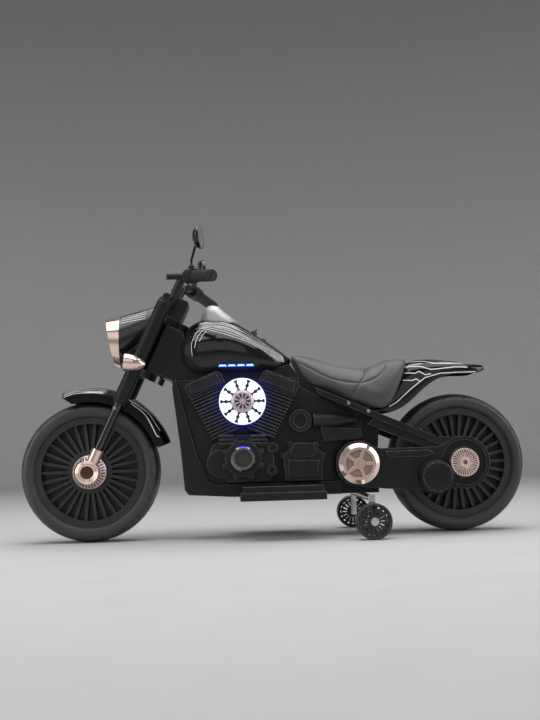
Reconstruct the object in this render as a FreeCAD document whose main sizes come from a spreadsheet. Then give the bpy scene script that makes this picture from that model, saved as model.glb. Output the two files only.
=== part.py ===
import FreeCAD, Part
import math
import os
import re

import Sketcher

os.makedirs("parts", exist_ok=True)
doc = FreeCAD.newDocument("kids_motorbike")
Vector = FreeCAD.Vector

# A child's battery motorbike. The front is at -X, the rider's left side at -Y, the ground at zero.
# Driving dimensions in millimetres, angles in degrees, counts as they are.
sizes = {
    # road wheels
    "wheelbase": 865, "wheel_dia": 325, "tyre_width": 92, "tyre_bulge": 5, "tyre_shoulder": 9,
    "bead_dia": 254, "rim_wall": 15, "rim_width": 74, "web_width": 18, "hub_dia": 60, "hub_width": 88,
    "spoke_width": 7, "spoke_depth": 58, "spoke_count": 30, "axle_dia": 10, "seat_gap": 0.1,
    "hub_flange_dia": 100, "hub_flange_width": 62,
    "run_gap": 0.05, "overrun": 2, "cap_rib_count": 30, "cap_rib_width": 2, "cap_rib_height": 1.5,
    # body shell
    "frame_rise": 350, "body_half": 52, "rail_half": 66, "bay_half": 34, "bay_clear": 4,
    "battery_length": 151, "battery_width": 65, "battery_height": 94,
    "board_length": 80, "board_width": 46, "board_height": 16,
    # steering head, measured from the front axle along the steering axis
    "head_rake": 25, "fork_offset": 50, "fork_half": 72, "stem_dia": 25, "head_tube_dia": 60,
    "neck_low": 270, "neck_high": 385, "neck_front": 26, "neck_back": 14, "neck_heel": 39,
    "head_gap": 3, "clamp_thickness": 17, "clamp_boss_dia": 40, "clamp_width": 34,
    "fork_upper_dia": 34, "fork_lower_dia": 20, "fork_joint": 171, "fork_top": 430, "fork_overlap": 40,
    "fork_cap_height": 7, "fork_cap_step": 1.5, "fork_taper": 10,
    "axle_clamp_dia": 53, "axle_clamp_inner": 11, "axle_clamp_width": 28, "axle_clamp_bore": 30,
    "axle_clamp_recess": 6,
    "clamp_sleeve_dia": 27, "clamp_sleeve_length": 56, "nut_dia": 26, "nut_height": 5,
    "hub_cover_dia": 79, "hub_cover_tip_dia": 54, "hub_cover_height": 13,
    # front fender
    "fender_clear": 33, "fender_skirt": 36, "fender_wall": 3, "fender_side": 5, "fender_turn": 90,
    "fender_front": 109, "fender_tip": 6, "fender_boss_dia": 14, "fender_corner": 16, "fender_boss_drop": 10,
    # headlight and signals
    "lamp_back_dia": 126, "lamp_front_dia": 116, "lamp_depth": 24, "lamp_tilt": 10, "lamp_lens_dia": 100,
    "lamp_forward": 83, "lamp_height": 305, "lamp_dome": 110, "lamp_bowl": 12, "shell_half": 46,
    "shell_rise": 75, "shell_centre": 350, "shell_front_gap": 1,
    "signal_dia": 40, "signal_length": 48, "signal_tip_dia": 8, "signal_up": 263, "signal_out": 104,
    "signal_lens_dia": 36, "signal_lens_depth": 3, "signal_forward": 25, "signal_tilt": 8,
    # handlebar
    "bar_dia": 20, "bar_up": 434, "bar_forward": 38, "bar_foot_half": 50, "bar_rise": 69, "bar_spread": 14,
    "bar_sweep": 68, "bar_drop": 28, "bar_reach": 228, "bar_bend": 20, "block_half": 32, "block_top": 458,
    "block_front": 66, "grip_dia": 27, "grip_length": 100, "grip_flange_dia": 33, "grip_flange": 4,
    "pod_dia": 35, "pod_length": 36, "pod_stub_dia": 14, "pod_stub_length": 54, "pod_boss_dia": 14,
    "pod_boss_height": 24, "mirror_pin_dia": 8, "mirror_pin_depth": 10, "mirror_stem_dia": 6,
    "mirror_out": 66, "mirror_back": 24, "mirror_up": 50, "mirror_width": 70, "mirror_height": 45,
    "mirror_depth": 16, "mirror_rim": 3.5, "mirror_glass": 2, "mirror_lean": 12, "mirror_yaw": 10,
    "mirror_neck": 12,
    # tank, console and controls
    "tank_half": 88, "console_length": 84, "console_width": 66, "console_rise": 34, "console_sink": 22,
    "button_dia": 12, "button_height": 9, "button_proud": 3, "button_travel": 2, "button_gap": 0.3,
    "rocker_dia": 16, "rocker_width": 12, "rocker_tab": 4, "rocker_tab_height": 5,
    "light_length": 19, "light_height": 5, "light_slant": 3, "light_pitch": 21, "light_deep": 14,
    "light_sunk": 1.3, "light_count": 4,
    # seat and rear fender
    "seat_half": 94, "tail_half": 62, "tail_wall": 4, "tail_light_length": 10, "tail_light_proud": 4,
    # swing arms and struts
    "arm_outer": 98, "arm_front_dia": 104, "arm_rear_dia": 120, "arm_groove_dia": 104,
    "arm_groove_inner_dia": 72, "arm_groove_depth": 5, "arm_panel": 2,
    "strut_inner": 74, "strut_low_inner": 78, "strut_low_outer": 93, "strut_boss_dia": 13,
    "hub_cap_dia": 65, "hub_cap_height": 7, "hub_cap_hole": 9,
    # drive
    "pressure_angle": 20, "gear_module": 2.5, "gear_teeth": 48, "pinion_teeth": 12, "gear_width": 10,
    "gear_backlash": 0.5, "drive_angle": 204, "pinion_extra": 2, "shaft_dia": 8, "shaft_hole_dia": 14,
    "motor_dia": 37,
    "motor_length": 56, "motor_wall": 10, "shaft_grip": 40, "cover_dia": 82, "cover_face_dia": 76,
    "cover_height": 28, "cover_wall": 4, "notch_count": 14, "notch_width": 7, "notch_depth": 3,
    # engine sides
    "panel_depth": 6, "crank_depth": 28, "cylinder_depth": 26, "fin_depth": 32, "rocker_depth": 34,
    "cylinder_lean": 22, "cylinder_foot": 39, "cylinder_length": 110, "cylinder_low": 60,
    "cylinder_high": 82, "fin_count": 14, "fin_width": 3.5, "fin_reach": 3, "cover_rise": 34,
    "cover_lip": 4, "cover_corner": 8, "gearbox_depth": 32, "box_depth": 27, "round_dia": 52,
    "round_hole_dia": 30, "round_depth": 32, "boss_dia": 24, "boss_depth": 33, "boss_hole_dia": 13,
    "cap_proud": 4, "cap_inset": 7, "tappet_depth": 33, "tappet_rib": 4, "ear_dia": 13, "ear_depth": 27,
    "lug_ring_dia": 88, "lug_boss_dia": 13, "lug_boss_count": 8, "case_bulge_dia": 64, "case_bulge": 31,
    "panel_proud": 2, "canister_dia": 34, "canister_sink": 1,
    "canister_tip_dia": 14, "canister_out": 22, "crank_cover_dia": 82, "crank_ring_dia": 58,
    "crank_disc_dia": 40, "crank_cover_depth": 10, "crank_ring_depth": 8,
    "disc_dia": 107, "disc_depth": 9, "disc_seat_dia": 92, "disc_seat_depth": 44, "disc_hub_dia": 52,
    "disc_hub_tip_dia": 40, "disc_hub_depth": 7, "disc_rib_count": 10, "disc_rib_width": 4,
    "disc_rib_height": 1.5, "petal_count": 10, "petal_width": 4, "petal_depth": 2,
    "dome_dia": 94, "dome_depth": 12, "dome_pocket_depth": 3, "dome_spokes": 5, "dome_spoke_width": 8,
    "dome_rim": 12, "dome_hub_dia": 26,
    # footboards and pedal
    "foot_length": 193, "foot_out": 150, "foot_low": 90, "foot_base": 18, "foot_top": 14, "foot_bevel": 6,
    "foot_wall": 5, "foot_hollow": 12, "foot_back": 10, "lug_width": 6, "lug_inset": 28, "lug_edge": 1,
    "lug_length": 14,
    "pedal_pin_dia": 6, "pedal_barrel_dia": 12, "pedal_lift": 9, "pedal_length": 85,
    "pedal_thickness": 6, "pedal_slope": 12, "pedal_gap": 2,
    # stabiliser
    "bar_tube_dia": 14, "leg_width": 14, "leg_thickness": 8, "leg_half": 147, "small_wheel_dia": 80,
    "small_wheel_width": 28, "small_rim_wall": 6, "small_plate": 18, "small_hub_dia": 22,
    "small_slots": 16, "slot_width": 3, "slot_start": 14, "slot_end": 26.5, "outer_slot_start": 29,
    "outer_slot_end": 32.5, "outer_slot_width": 7, "small_side_gap": 1,
    "bolt_head_dia": 18, "bolt_head": 4, "rest_gap": 0.3, "screw_dia": 8, "screw_head": 2,
}

sheet = doc.addObject("Spreadsheet::Sheet", "Dimensions")
for row, (alias, number) in enumerate(sizes.items(), start=1):
    sheet.set("A%d" % row, alias)
    sheet.set("B%d" % row, str(number))
    sheet.setAlias("B%d" % row, alias)
doc.recompute()


def size(alias):
    return float(getattr(sheet, alias))


def cells(text):
    return re.sub(r"[a-z_]+", lambda word: "Dimensions." + word.group(0), text)


# Places that several pieces share
axle_height = size("wheel_dia") / 2
front_axle = Vector(-size("wheelbase") / 2, 0, axle_height)
rear_axle = Vector(size("wheelbase") / 2, 0, axle_height)
axle_radius = size("axle_dia") / 2
axle_bore = axle_radius + size("run_gap")
rake = math.radians(size("head_rake"))
head_up = Vector(math.sin(rake), 0, math.cos(rake))
head_back = Vector(math.cos(rake), 0, -math.sin(rake))
head_base = front_axle + head_back * size("fork_offset")
left = Vector(0, -1, 0)
along_x = Vector(1, 0, 0)
along_y = Vector(0, 1, 0)
along_z = Vector(0, 0, 1)
overrun = size("overrun")


def head_point(up, back, across=0):
    return head_base + head_up * up + head_back * back + along_y * across


def side_x(share):
    return share * size("wheelbase")


def side_z(share):
    return axle_height + share * size("frame_rise")


def side_points(shares):
    return [(side_x(across), side_z(up)) for across, up in shares]


# Document helpers
nodes = []


def keep(label, item):
    item.Label = label
    nodes.append(item)
    return item


def new_body(name):
    return doc.addObject("PartDesign::Body", name)


def origin_item(body, role):
    return next(item for item in body.Origin.OriginFeatures if item.Role == role)


def sketch_on(body, role, start="0"):
    sketch = body.newObject("Sketcher::SketchObject", body.Name + "_sketch")
    sketch.AttachmentSupport = (origin_item(body, role), [""])
    sketch.MapMode = "FlatFace"
    sketch.setExpression("AttachmentOffset.Base.z", cells(start))
    return sketch


def polygon(sketch, points):
    for start, end in zip(points, points[1:] + points[:1]):
        sketch.addGeometry(Part.LineSegment(Vector(*start, 0), Vector(*end, 0)), False)


def arc(sketch, start, middle, end):
    sketch.addGeometry(Part.Arc(Vector(*start, 0), Vector(*middle, 0), Vector(*end, 0)), False)


def line(sketch, start, end):
    sketch.addGeometry(Part.LineSegment(Vector(*start, 0), Vector(*end, 0)), False)


def circle(sketch, across, up, diameter, margin="0"):
    radius = size(diameter) / 2 + (size(margin) if margin != "0" else 0)
    number = sketch.addGeometry(Part.Circle(Vector(across, up, 0), along_z, radius), False)
    rule = sketch.addConstraint(Sketcher.Constraint("Radius", number, radius))
    sketch.setExpression("Constraints[%d]" % rule, cells("%s / 2 + %s" % (diameter, margin)))


def rectangle(sketch, low, high):
    polygon(sketch, [low, (high[0], low[1]), high, (low[0], high[1])])


def add(body, kind, sketch, length=None, backwards=False):
    feature = body.newObject("PartDesign::" + kind, body.Name + "_" + kind.lower())
    feature.Profile = sketch
    feature.Reversed = backwards
    if length:
        feature.setExpression("Length", cells(length))
    body.Tip = feature
    return feature


def revolve(body, sketch, axis, angle=None, kind="Revolution", backwards=False):
    feature = body.newObject("PartDesign::" + kind, body.Name + "_" + kind.lower())
    feature.Profile = sketch
    feature.ReferenceAxis = (sketch, [axis])
    feature.Angle = 360
    if angle:
        feature.setExpression("Angle", cells(angle))
    feature.Reversed = backwards
    body.Tip = feature
    return feature


def round_pattern(body, feature, count):
    pattern = body.newObject("PartDesign::PolarPattern", body.Name + "_pattern")
    pattern.Originals = [feature]
    pattern.Axis = (origin_item(body, "Y_Axis"), [""])
    pattern.Angle = 360
    pattern.setExpression("Occurrences", cells(count))
    body.Tip = pattern
    return pattern


def cylinder(name, diameter, height, base, direction, margin="0"):
    item = doc.addObject("Part::Cylinder", name)
    item.setExpression("Radius", cells("%s / 2 + %s" % (diameter, margin)))
    item.setExpression("Height", cells(height))
    item.Placement = FreeCAD.Placement(base, FreeCAD.Rotation(along_z, direction))
    return item


def box(name, length, width, height, corner):
    item = doc.addObject("Part::Box", name)
    item.setExpression("Length", cells(length))
    item.setExpression("Width", cells(width))
    item.setExpression("Height", cells(height))
    item.Placement = FreeCAD.Placement(corner, FreeCAD.Rotation())
    return item


def cut(name, base, tool):
    item = doc.addObject("Part::Cut", name)
    item.Base = base
    item.Tool = tool
    return item


def fuse(name, shapes):
    item = doc.addObject("Part::MultiFuse", name)
    item.Shapes = shapes
    return item


def mirrored(name, source):
    item = doc.addObject("Part::Mirroring", name)
    item.Source = source
    item.Base = Vector(0, 0, 0)
    item.Normal = along_y
    return item


def pair(label, source):
    group = doc.addObject("Part::Compound", label)
    group.Links = [source, mirrored(source.Name + "_right", source)]
    return keep(label, group)


def solid(name, shape):
    item = doc.addObject("Part::Feature", name)
    item.Shape = shape
    return item


# Round outlines and lofts
def ellipse_wire(centre, major, minor):
    curve = Part.Ellipse(centre + major, centre + minor, centre)
    return Part.Wire([curve.toShape()])


waist_share = 0.4


# A closed cross-section: flat foot, bulged sides and a crowned top
def arch_wire(x, low, high, half, foot_share, shoulder_share, crown_share):
    foot = half * foot_share
    shoulder = half * shoulder_share
    rise = high - low
    waist = low + rise * waist_share
    shoulder_z = low + rise * crown_share
    points = [Vector(x, -foot, low), Vector(x, foot, low), Vector(x, half, waist),
              Vector(x, shoulder, shoulder_z), Vector(x, 0, high), Vector(x, -shoulder, shoulder_z),
              Vector(x, -half, waist)]
    return Part.Wire([
        Part.makeLine(points[0], points[1]),
        Part.Arc(points[1], points[2], points[3]).toShape(),
        Part.Arc(points[3], points[4], points[5]).toShape(),
        Part.Arc(points[5], points[6], points[0]).toShape(),
    ])


def arch_loft(stations, half, shape_shares, shrink=0, drop=0):
    wires = []
    for across, low, high, width in stations:
        wires.append(arch_wire(side_x(across), side_z(low) - drop, side_z(high) - shrink,
                               half * width - shrink, *shape_shares))
    return Part.makeLoft(wires, True)


def prism(points, half):
    corners = [Vector(x, -half, z) for x, z in points]
    face = Part.Face(Part.makePolygon(corners + corners[:1]))
    return face.extrude(along_y * (2 * half))


def bent_tube(points, bend, radius):
    edges = []
    start = points[0]
    for before, corner, after in zip(points, points[1:], points[2:]):
        arrive = (before - corner).normalize()
        leave = (after - corner).normalize()
        half_angle = arrive.getAngle(leave) / 2
        reach = bend / math.tan(half_angle)
        middle = (arrive + leave).normalize()
        centre = corner + middle * (bend / math.sin(half_angle))
        first = corner + arrive * reach
        last = corner + leave * reach
        edges.append(Part.makeLine(start, first))
        edges.append(Part.Arc(first, centre - middle * bend, last).toShape())
        start = last
    edges.append(Part.makeLine(start, points[-1]))
    ring = Part.makeCircle(radius, points[0], (points[1] - points[0]).normalize())
    return Part.Wire(edges).makePipeShell([Part.Wire([ring])], True, False)


# Side outlines, as shares of the wheelbase and of the frame's rise above the axles
deck_shares = [(-0.237, 0.856), (-0.235, 0.750), (-0.220, 0.670), (-0.197, 0.650), (-0.006, 0.650),
               (0.044, 0.687), (0.062, 0.624), (0.103, 0.539), (0.158, 0.487), (0.202, 0.430),
               (0.272, 0.367), (0.281, 0.221), (0.277, 0.079)]
floor_shares = [(0.277, -0.187), (-0.118, -0.187)]
leg_shares = [(-0.236, -0.167), (-0.246, -0.133), (-0.255, 0.130), (-0.275, 0.541)]
rail_end_share = 0.173
rail_inner_shares = [(0.173, -0.104), (-0.162, -0.104), (-0.183, -0.081), (-0.212, 0.096), (-0.265, 0.599)]
tank_stations_shares = [(-0.251, 0.750, 0.836, 0.55), (-0.240, 0.693, 0.927, 0.74),
                        (-0.213, 0.648, 0.990, 0.88), (-0.162, 0.644, 1.019, 0.97),
                        (-0.101, 0.644, 0.990, 1.00), (-0.049, 0.644, 0.910, 0.92),
                        (0.002, 0.647, 0.827, 0.73), (0.035, 0.667, 0.764, 0.48), (0.049, 0.701, 0.736, 0.23)]
seat_stations_shares = [(0.051, 0.713, 0.759, 0.30), (0.073, 0.616, 0.756, 0.53), (0.114, 0.530, 0.724, 0.72),
                        (0.161, 0.484, 0.681, 0.85), (0.207, 0.427, 0.656, 0.96), (0.244, 0.396, 0.647, 1.00),
                        (0.274, 0.370, 0.661, 1.00), (0.305, 0.385, 0.695, 0.98), (0.325, 0.450, 0.709, 0.93),
                        (0.341, 0.530, 0.715, 0.87), (0.354, 0.615, 0.714, 0.81), (0.361, 0.660, 0.711, 0.77)]
tail_stations_shares = [(0.271, 0.324, 0.400, 1.00), (0.294, 0.336, 0.470, 1.05), (0.329, 0.356, 0.585, 1.06),
                        (0.351, 0.384, 0.650, 1.05), (0.376, 0.430, 0.694, 1.03), (0.399, 0.481, 0.706, 1.01),
                        (0.428, 0.536, 0.710, 1.00), (0.462, 0.576, 0.704, 0.98), (0.497, 0.596, 0.694, 0.97),
                        (0.529, 0.599, 0.681, 0.94), (0.555, 0.599, 0.671, 0.87), (0.578, 0.616, 0.661, 0.74)]
tank_shape_shares = (0.80, 0.62, 0.82)
seat_shape_shares = (0.93, 0.74, 0.84)
tail_shape_shares = (0.97, 0.80, 0.80)
crank_shares = [(-0.180, 0.067), (-0.171, 0.150), (-0.136, 0.216), (-0.037, 0.216), (-0.009, 0.147),
                (-0.005, -0.036), (-0.023, -0.087), (-0.129, -0.087), (-0.164, -0.030)]
gearbox_shares = [(0.044, 0.153), (0.101, 0.153), (0.110, 0.124), (0.125, 0.076), (0.119, -0.090),
                  (0.023, -0.090), (0.017, 0.073), (0.035, 0.124)]
gear_cap_shares = [(0.049, 0.157), (0.097, 0.153), (0.109, 0.093), (0.096, 0.065), (0.048, 0.068),
                   (0.036, 0.098)]
gear_plate_shares = [(0.030, 0.044), (0.113, 0.039), (0.106, -0.064), (0.031, -0.061)]
gear_ear_shares = [(0.018, 0.076), (0.1245, 0.071), (0.038, 0.146), (0.106, 0.142)]
tappet_shares = [(-0.133, 0.188, 0.037, 0.074), (-0.047, 0.184, 0.037, 0.074)]
tappet_rib_shares = (-0.33, 0, 0.33)
case_bulge_share = (-0.149, 0.033)
box_shares = [(0.120, 0.256), (0.227, 0.241), (0.233, 0.190), (0.220, 0.170), (0.129, 0.167)]
panel_shares = [(-0.264, 0.593), (-0.210, 0.101), (-0.182, -0.076), (-0.161, -0.099), (0.155, -0.099),
                (0.155, 0.107), (0.173, 0.142), (0.217, 0.176), (0.235, 0.182), (0.235, 0.284),
                (0.127, 0.452), (0.069, 0.530), (0.067, 0.593)]
strut_shares = [(0.108, 0.516), (0.431, 0.173), (0.465, 0.172), (0.457, 0.127), (0.437, 0.116), (0.113, 0.473)]
strut_low_shares = [(0.246, 0.267), (0.264, 0.312), (0.444, 0.121), (0.430, 0.070)]
strut_boss_share = (0.130, 0.476)
strut_screw_shares = [(0.195, 0.408), (0.247, 0.352)]
arm_web_shares = [(0.217, 0.140), (0.283, 0.104), (0.429, 0.107), (0.490, 0.168), (0.500, -0.168),
                  (0.405, -0.170), (0.292, -0.159), (0.217, -0.138)]
arm_panel_shares = [(0.290, 0.085), (0.405, 0.088), (0.420, 0.064), (0.395, 0.046), (0.300, 0.046)]
arm_front_share = (0.217, 0.010)
disc_share = (-0.088, 0.436)
crank_cover_share = (-0.089, 0.062)
valley_share = (-0.0875, 0.222)
round_share = (0.066, 0.302)
small_boss_shares = [(-0.010, 0.128), (-0.013, -0.020)]
canister_shares = (0.101, 0.218)
tank_light_share = (-0.149, 0.678)
switch_share = (-0.049, 0.910)
button_share = (-0.022, 0.866)
console_share = (-0.149, 1.012)
console_ring_shares = [(0, -0.50, 0.50, 1.0), (0.39, -0.50, 0.50, 1.0), (0.62, -0.44, 0.30, 0.95),
                       (0.85, -0.36, 0.13, 0.78), (1, -0.24, -0.04, 0.42)]
stabiliser_share = 0.238


# Body shell halves: neck, deck, floor and the raised J-shaped rail
def body_outline():
    low, high, front = size("neck_low"), size("neck_high"), -size("neck_front")
    neck = [head_point(low, size("neck_heel")), head_point(low, front), head_point(high, front),
            head_point(high, size("neck_back"))]
    return ([(point.x, point.z) for point in neck] + side_points(deck_shares)
            + side_points(floor_shares) + side_points(leg_shares))


def rail_outline():
    outer = [(side_x(rail_end_share), side_z(floor_shares[0][1]))]
    return outer + side_points(floor_shares[1:] + leg_shares) + side_points(rail_inner_shares)[::-1]


bay_floor = side_z(-0.095)
bay_left = side_x(-0.155)


def make_shell_half(name):
    body = new_body(name)
    outline = sketch_on(body, "XZ_Plane")
    polygon(outline, body_outline())
    add(body, "Pad", outline, "body_half")
    rail = sketch_on(body, "XZ_Plane", "body_half")
    polygon(rail, rail_outline())
    add(body, "Pad", rail, "rail_half - body_half")
    tube = sketch_on(body, "XZ_Plane")
    radius = size("head_tube_dia") / 2
    ends = [head_point(size("neck_low"), 0), head_point(size("neck_high"), 0)]
    sides = [end + head_back * radius for end in ends]
    corners = [(point.x, point.z) for point in (ends[0], ends[1], sides[1], sides[0])]
    polygon(tube, corners)
    axis = Part.LineSegment(Vector(*corners[0], 0), Vector(*corners[1], 0))
    tube.addGeometry(axis, True)
    half_turn = revolve(body, tube, "Axis0", kind="Revolution", backwards=True)
    half_turn.Angle = 180
    bay = sketch_on(body, "XZ_Plane")
    bay_top = bay_floor + size("battery_height") + size("board_height") + size("bay_clear")
    rectangle(bay, (bay_left, bay_floor), (bay_left + size("battery_length") + size("bay_clear"), bay_top))
    add(body, "Pocket", bay, "bay_half", backwards=True)
    return body


def stem_bore(name):
    length = "neck_high - neck_low + 2 * overrun"
    start = head_point(size("neck_low") - overrun, 0)
    return cylinder(name, "stem_dia", length, start, head_up, margin="run_gap")


shell_left_raw = make_shell_half("shell_left_raw")
body_left = keep("body_left", cut("shell_left", shell_left_raw, stem_bore("stem_bore")))
body_right = keep("body_right", mirrored("shell_right", body_left))

battery_corner = Vector(bay_left + size("bay_clear") / 2, -size("battery_width") / 2, bay_floor)
keep("battery", box("battery_case", "battery_length", "battery_width", "battery_height", battery_corner))
board_inset = (size("battery_width") - size("board_width")) / 2
board_corner = battery_corner + Vector(0, board_inset, size("battery_height"))
keep("control_board", box("control_case", "board_length", "board_width", "board_height", board_corner))


# Tank, console, switch, button and side lights
body_prism = prism(body_outline(), size("body_half"))
head_top = size("neck_high") + size("head_gap") + size("clamp_thickness") + overrun
head_tube = Part.makeCylinder(size("head_tube_dia") / 2 + size("rest_gap"), head_top, head_base, head_up)
tank_loft = arch_loft(tank_stations_shares, size("tank_half"), tank_shape_shares)
tank_solid = tank_loft.cut(body_prism).cut(head_tube)
ridge_start = Vector(side_x(tank_stations_shares[4][0]), 0, side_z(tank_stations_shares[4][2]))
ridge_end = Vector(side_x(tank_stations_shares[7][0]), 0, side_z(tank_stations_shares[7][2]))
ridge = (ridge_end - ridge_start).normalize()
ridge_out = along_y.cross(ridge) * -1

console_base = Vector(side_x(console_share[0]), 0, side_z(console_share[1]) - size("console_sink"))
oval_shares = [(-0.354, 0.354), (0, 0.5), (0.354, 0.354)]


def oval_ring(height, front_share, back_share, width_share):
    front = console_base + Vector(size("console_length") * front_share, 0, height)
    back = console_base + Vector(size("console_length") * back_share, 0, height)
    centre = (front + back) / 2
    width = size("console_width") * width_share
    upper = [centre + (back - front) * a + along_y * (width * b) for a, b in oval_shares]
    lower = [centre + (back - front) * a - along_y * (width * b) for a, b in reversed(oval_shares)]
    edges = [Part.Arc(front, upper[0], upper[1]).toShape(), Part.Arc(upper[1], upper[2], back).toShape(),
             Part.Arc(back, lower[0], lower[1]).toShape(), Part.Arc(lower[1], lower[2], front).toShape()]
    return Part.Wire(edges)


console_height = size("console_rise") + size("console_sink")
console_solid = Part.makeLoft([oval_ring(console_height * up, front, back, width)
                               for up, front, back, width in console_ring_shares], True)
keep("console", solid("console_shell", console_solid.cut(tank_solid)))


# The point of the tank's ridge straight above a place
def surface_point(share):
    ray = Part.makeLine(Vector(side_x(share[0]), 0, side_z(share[1]) - size("tank_half")),
                        Vector(side_x(share[0]), 0, side_z(share[1]) + size("tank_half")))
    hit = tank_solid.common(ray)
    return max((vertex.Point for vertex in hit.Vertexes), key=lambda point: point.z)


button_seat = surface_point(button_share)
switch_seat = surface_point(switch_share)
button_low = button_seat - ridge_out * (size("button_height") - size("button_proud"))
keep("start_button", cylinder("button_cap", "button_dia", "button_height", button_low, ridge_out))
button_floor = button_low - ridge_out * (size("button_travel") + size("button_gap"))
button_deep = size("button_height") + size("button_travel") + overrun
button_room = size("button_dia") / 2 + size("button_gap")
button_hole = Part.makeCylinder(button_room, button_deep, button_floor, ridge_out)
rocker_start = switch_seat - along_y * (size("rocker_width") / 2)
rocker_round = cylinder("rocker_round", "rocker_dia", "rocker_width", rocker_start, along_y)
rocker_tab = doc.addObject("Part::Box", "rocker_tab")
rocker_tab.setExpression("Length", cells("rocker_tab"))
rocker_tab.setExpression("Width", cells("rocker_width"))
rocker_tab.setExpression("Height", cells("rocker_dia / 2 + rocker_tab_height"))
rocker_tab.Placement = FreeCAD.Placement(rocker_start - ridge * (size("rocker_tab") / 2),
                                         FreeCAD.Rotation(ridge, along_y, ridge_out, "ZXY"))
keep("direction_switch", fuse("rocker_body", [rocker_round, rocker_tab]))
rocker_hole = Part.makeCylinder(size("rocker_dia") / 2 + size("button_gap"),
                                size("rocker_width") + 2 * size("button_gap"),
                                rocker_start - along_y * size("button_gap"), along_y)
tank_solid = tank_solid.cut(button_hole).cut(rocker_hole)


def tank_light(number):
    start = side_x(tank_light_share[0]) + number * size("light_pitch")
    end = start + size("light_length")
    low = side_z(tank_light_share[1]) - size("light_height") / 2
    high = low + size("light_height")
    slant = size("light_slant")
    outline = [(start, low), (end, low), (end - slant, high), (start + slant, high)]
    corners = [Vector(x, -size("tank_half") + size("light_sunk"), z) for x, z in outline]
    return Part.Face(Part.makePolygon(corners + corners[:1])).extrude(along_y * size("light_deep"))


left_lights = [tank_light(number) for number in range(int(size("light_count")))]
right_lights = [item.mirror(Vector(0, 0, 0), along_y) for item in left_lights]
keep("tank_lights", solid("light_lenses", Part.makeCompound(left_lights + right_lights)))
for item in left_lights + right_lights:
    tank_solid = tank_solid.cut(item)
keep("tank", solid("tank_shell", tank_solid))


# Rear fender, tail light and saddle
tail_outer = arch_loft(tail_stations_shares, size("tail_half"), tail_shape_shares)
tail_inner = arch_loft(tail_stations_shares, size("tail_half"), tail_shape_shares,
                       shrink=size("tail_wall"), drop=overrun)
tail_shell = tail_outer.cut(tail_inner).cut(body_prism)
keep("rear_fender", solid("rear_fender_shell", tail_shell))
tail_end = tail_stations_shares[-1]
tail_inset = size("tail_wall") + size("rest_gap")
tail_start = side_x(tail_end[0]) + size("tail_light_proud") - size("tail_light_length")
tail_wire = arch_wire(tail_start, side_z(tail_end[1]), side_z(tail_end[2]) - tail_inset,
                      size("tail_half") * tail_end[3] - tail_inset, *tail_shape_shares)
tail_lens = Part.Face(tail_wire).extrude(along_x * size("tail_light_length"))
keep("tail_light", solid("tail_lens", tail_lens.cut(tail_shell)))
seat_solid = arch_loft(seat_stations_shares, size("seat_half"), seat_shape_shares)
keep("seat_cushion", solid("seat_pad", seat_solid.cut(body_prism).cut(tail_outer)))


# Drive: wheel gear, pinion on the motor's shaft, motor and its cover
def gear_outline(teeth, turn):
    module = size("gear_module")
    pitch = module * teeth / 2
    pressure = math.radians(size("pressure_angle"))
    base = pitch * math.cos(pressure)
    addendum_share, dedendum_share = 0.7, 1.15
    tip = pitch + module * addendum_share
    root = pitch - module * dedendum_share
    half_pitch = (math.pi * module / 2 - size("gear_backlash")) / 2 / pitch

    def half_angle(radius):
        slope = math.acos(min(1, base / max(radius, base)))
        return half_pitch + (math.tan(pressure) - pressure) - (math.tan(slope) - slope)

    low = max(root, base)
    points = []
    for number in range(teeth):
        middle = turn + 2 * math.pi * number / teeth
        rising = [(root, -1), (low, -1), (pitch, -1), (tip, -1)]
        falling = [(radius, 1) for radius, side in reversed(rising)]
        for radius, side in rising + falling:
            angle = middle + side * half_angle(radius)
            point = (radius * math.cos(angle), radius * math.sin(angle))
            if not points or math.dist(points[-1], point) > size("run_gap"):
                points.append(point)
    return points


def gear_solid(teeth, turn, centre, near, far):
    corners = [Vector(centre.x + x, -near, centre.z + z) for x, z in gear_outline(teeth, turn)]
    face = Part.Face(Part.makePolygon(corners + corners[:1]))
    return face.extrude(Vector(0, near - far, 0))


gear_teeth = int(size("gear_teeth"))
pinion_teeth = int(size("pinion_teeth"))
drive_reach = size("gear_module") * (gear_teeth + pinion_teeth) / 2
drive_turn = math.radians(size("drive_angle"))
motor_axis = rear_axle + Vector(math.cos(drive_turn), 0, math.sin(drive_turn)) * drive_reach
gear_outside = size("hub_width") / 2
gear_inside = gear_outside - size("gear_width")
gear_turn = drive_turn + math.pi / gear_teeth
gear_blank = gear_solid(gear_teeth, gear_turn, rear_axle, gear_inside, gear_outside)
gear_bore = Part.makeCylinder(size("hub_dia") / 2 + size("seat_gap"), size("gear_width") + 2 * overrun,
                              rear_axle + left * (gear_outside + overrun), along_y)
keep("wheel_gear", solid("wheel_gear_ring", gear_blank.cut(gear_bore)))
pinion_inside = gear_inside - size("pinion_extra")
pinion_outside = gear_outside + size("pinion_extra")
pinion_blank = gear_solid(pinion_teeth, drive_turn + math.pi, motor_axis, pinion_inside, pinion_outside)
motor_face = size("body_half") + size("motor_wall")
shaft_end = motor_face + size("shaft_grip")
shaft = Part.makeCylinder(size("shaft_dia") / 2, shaft_end - pinion_inside,
                          motor_axis + left * shaft_end, along_y)
keep("motor_pinion", solid("pinion_on_shaft", pinion_blank.fuse(shaft)))
motor_can = cylinder("motor_can", "motor_dia", "motor_length", motor_axis + left * motor_face, left)
motor_bore = cylinder("motor_bore", "shaft_dia", "shaft_grip + overrun", motor_axis + left * motor_face, left,
                      margin="run_gap")
keep("drive_motor", cut("motor_case", motor_can, motor_bore))


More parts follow.
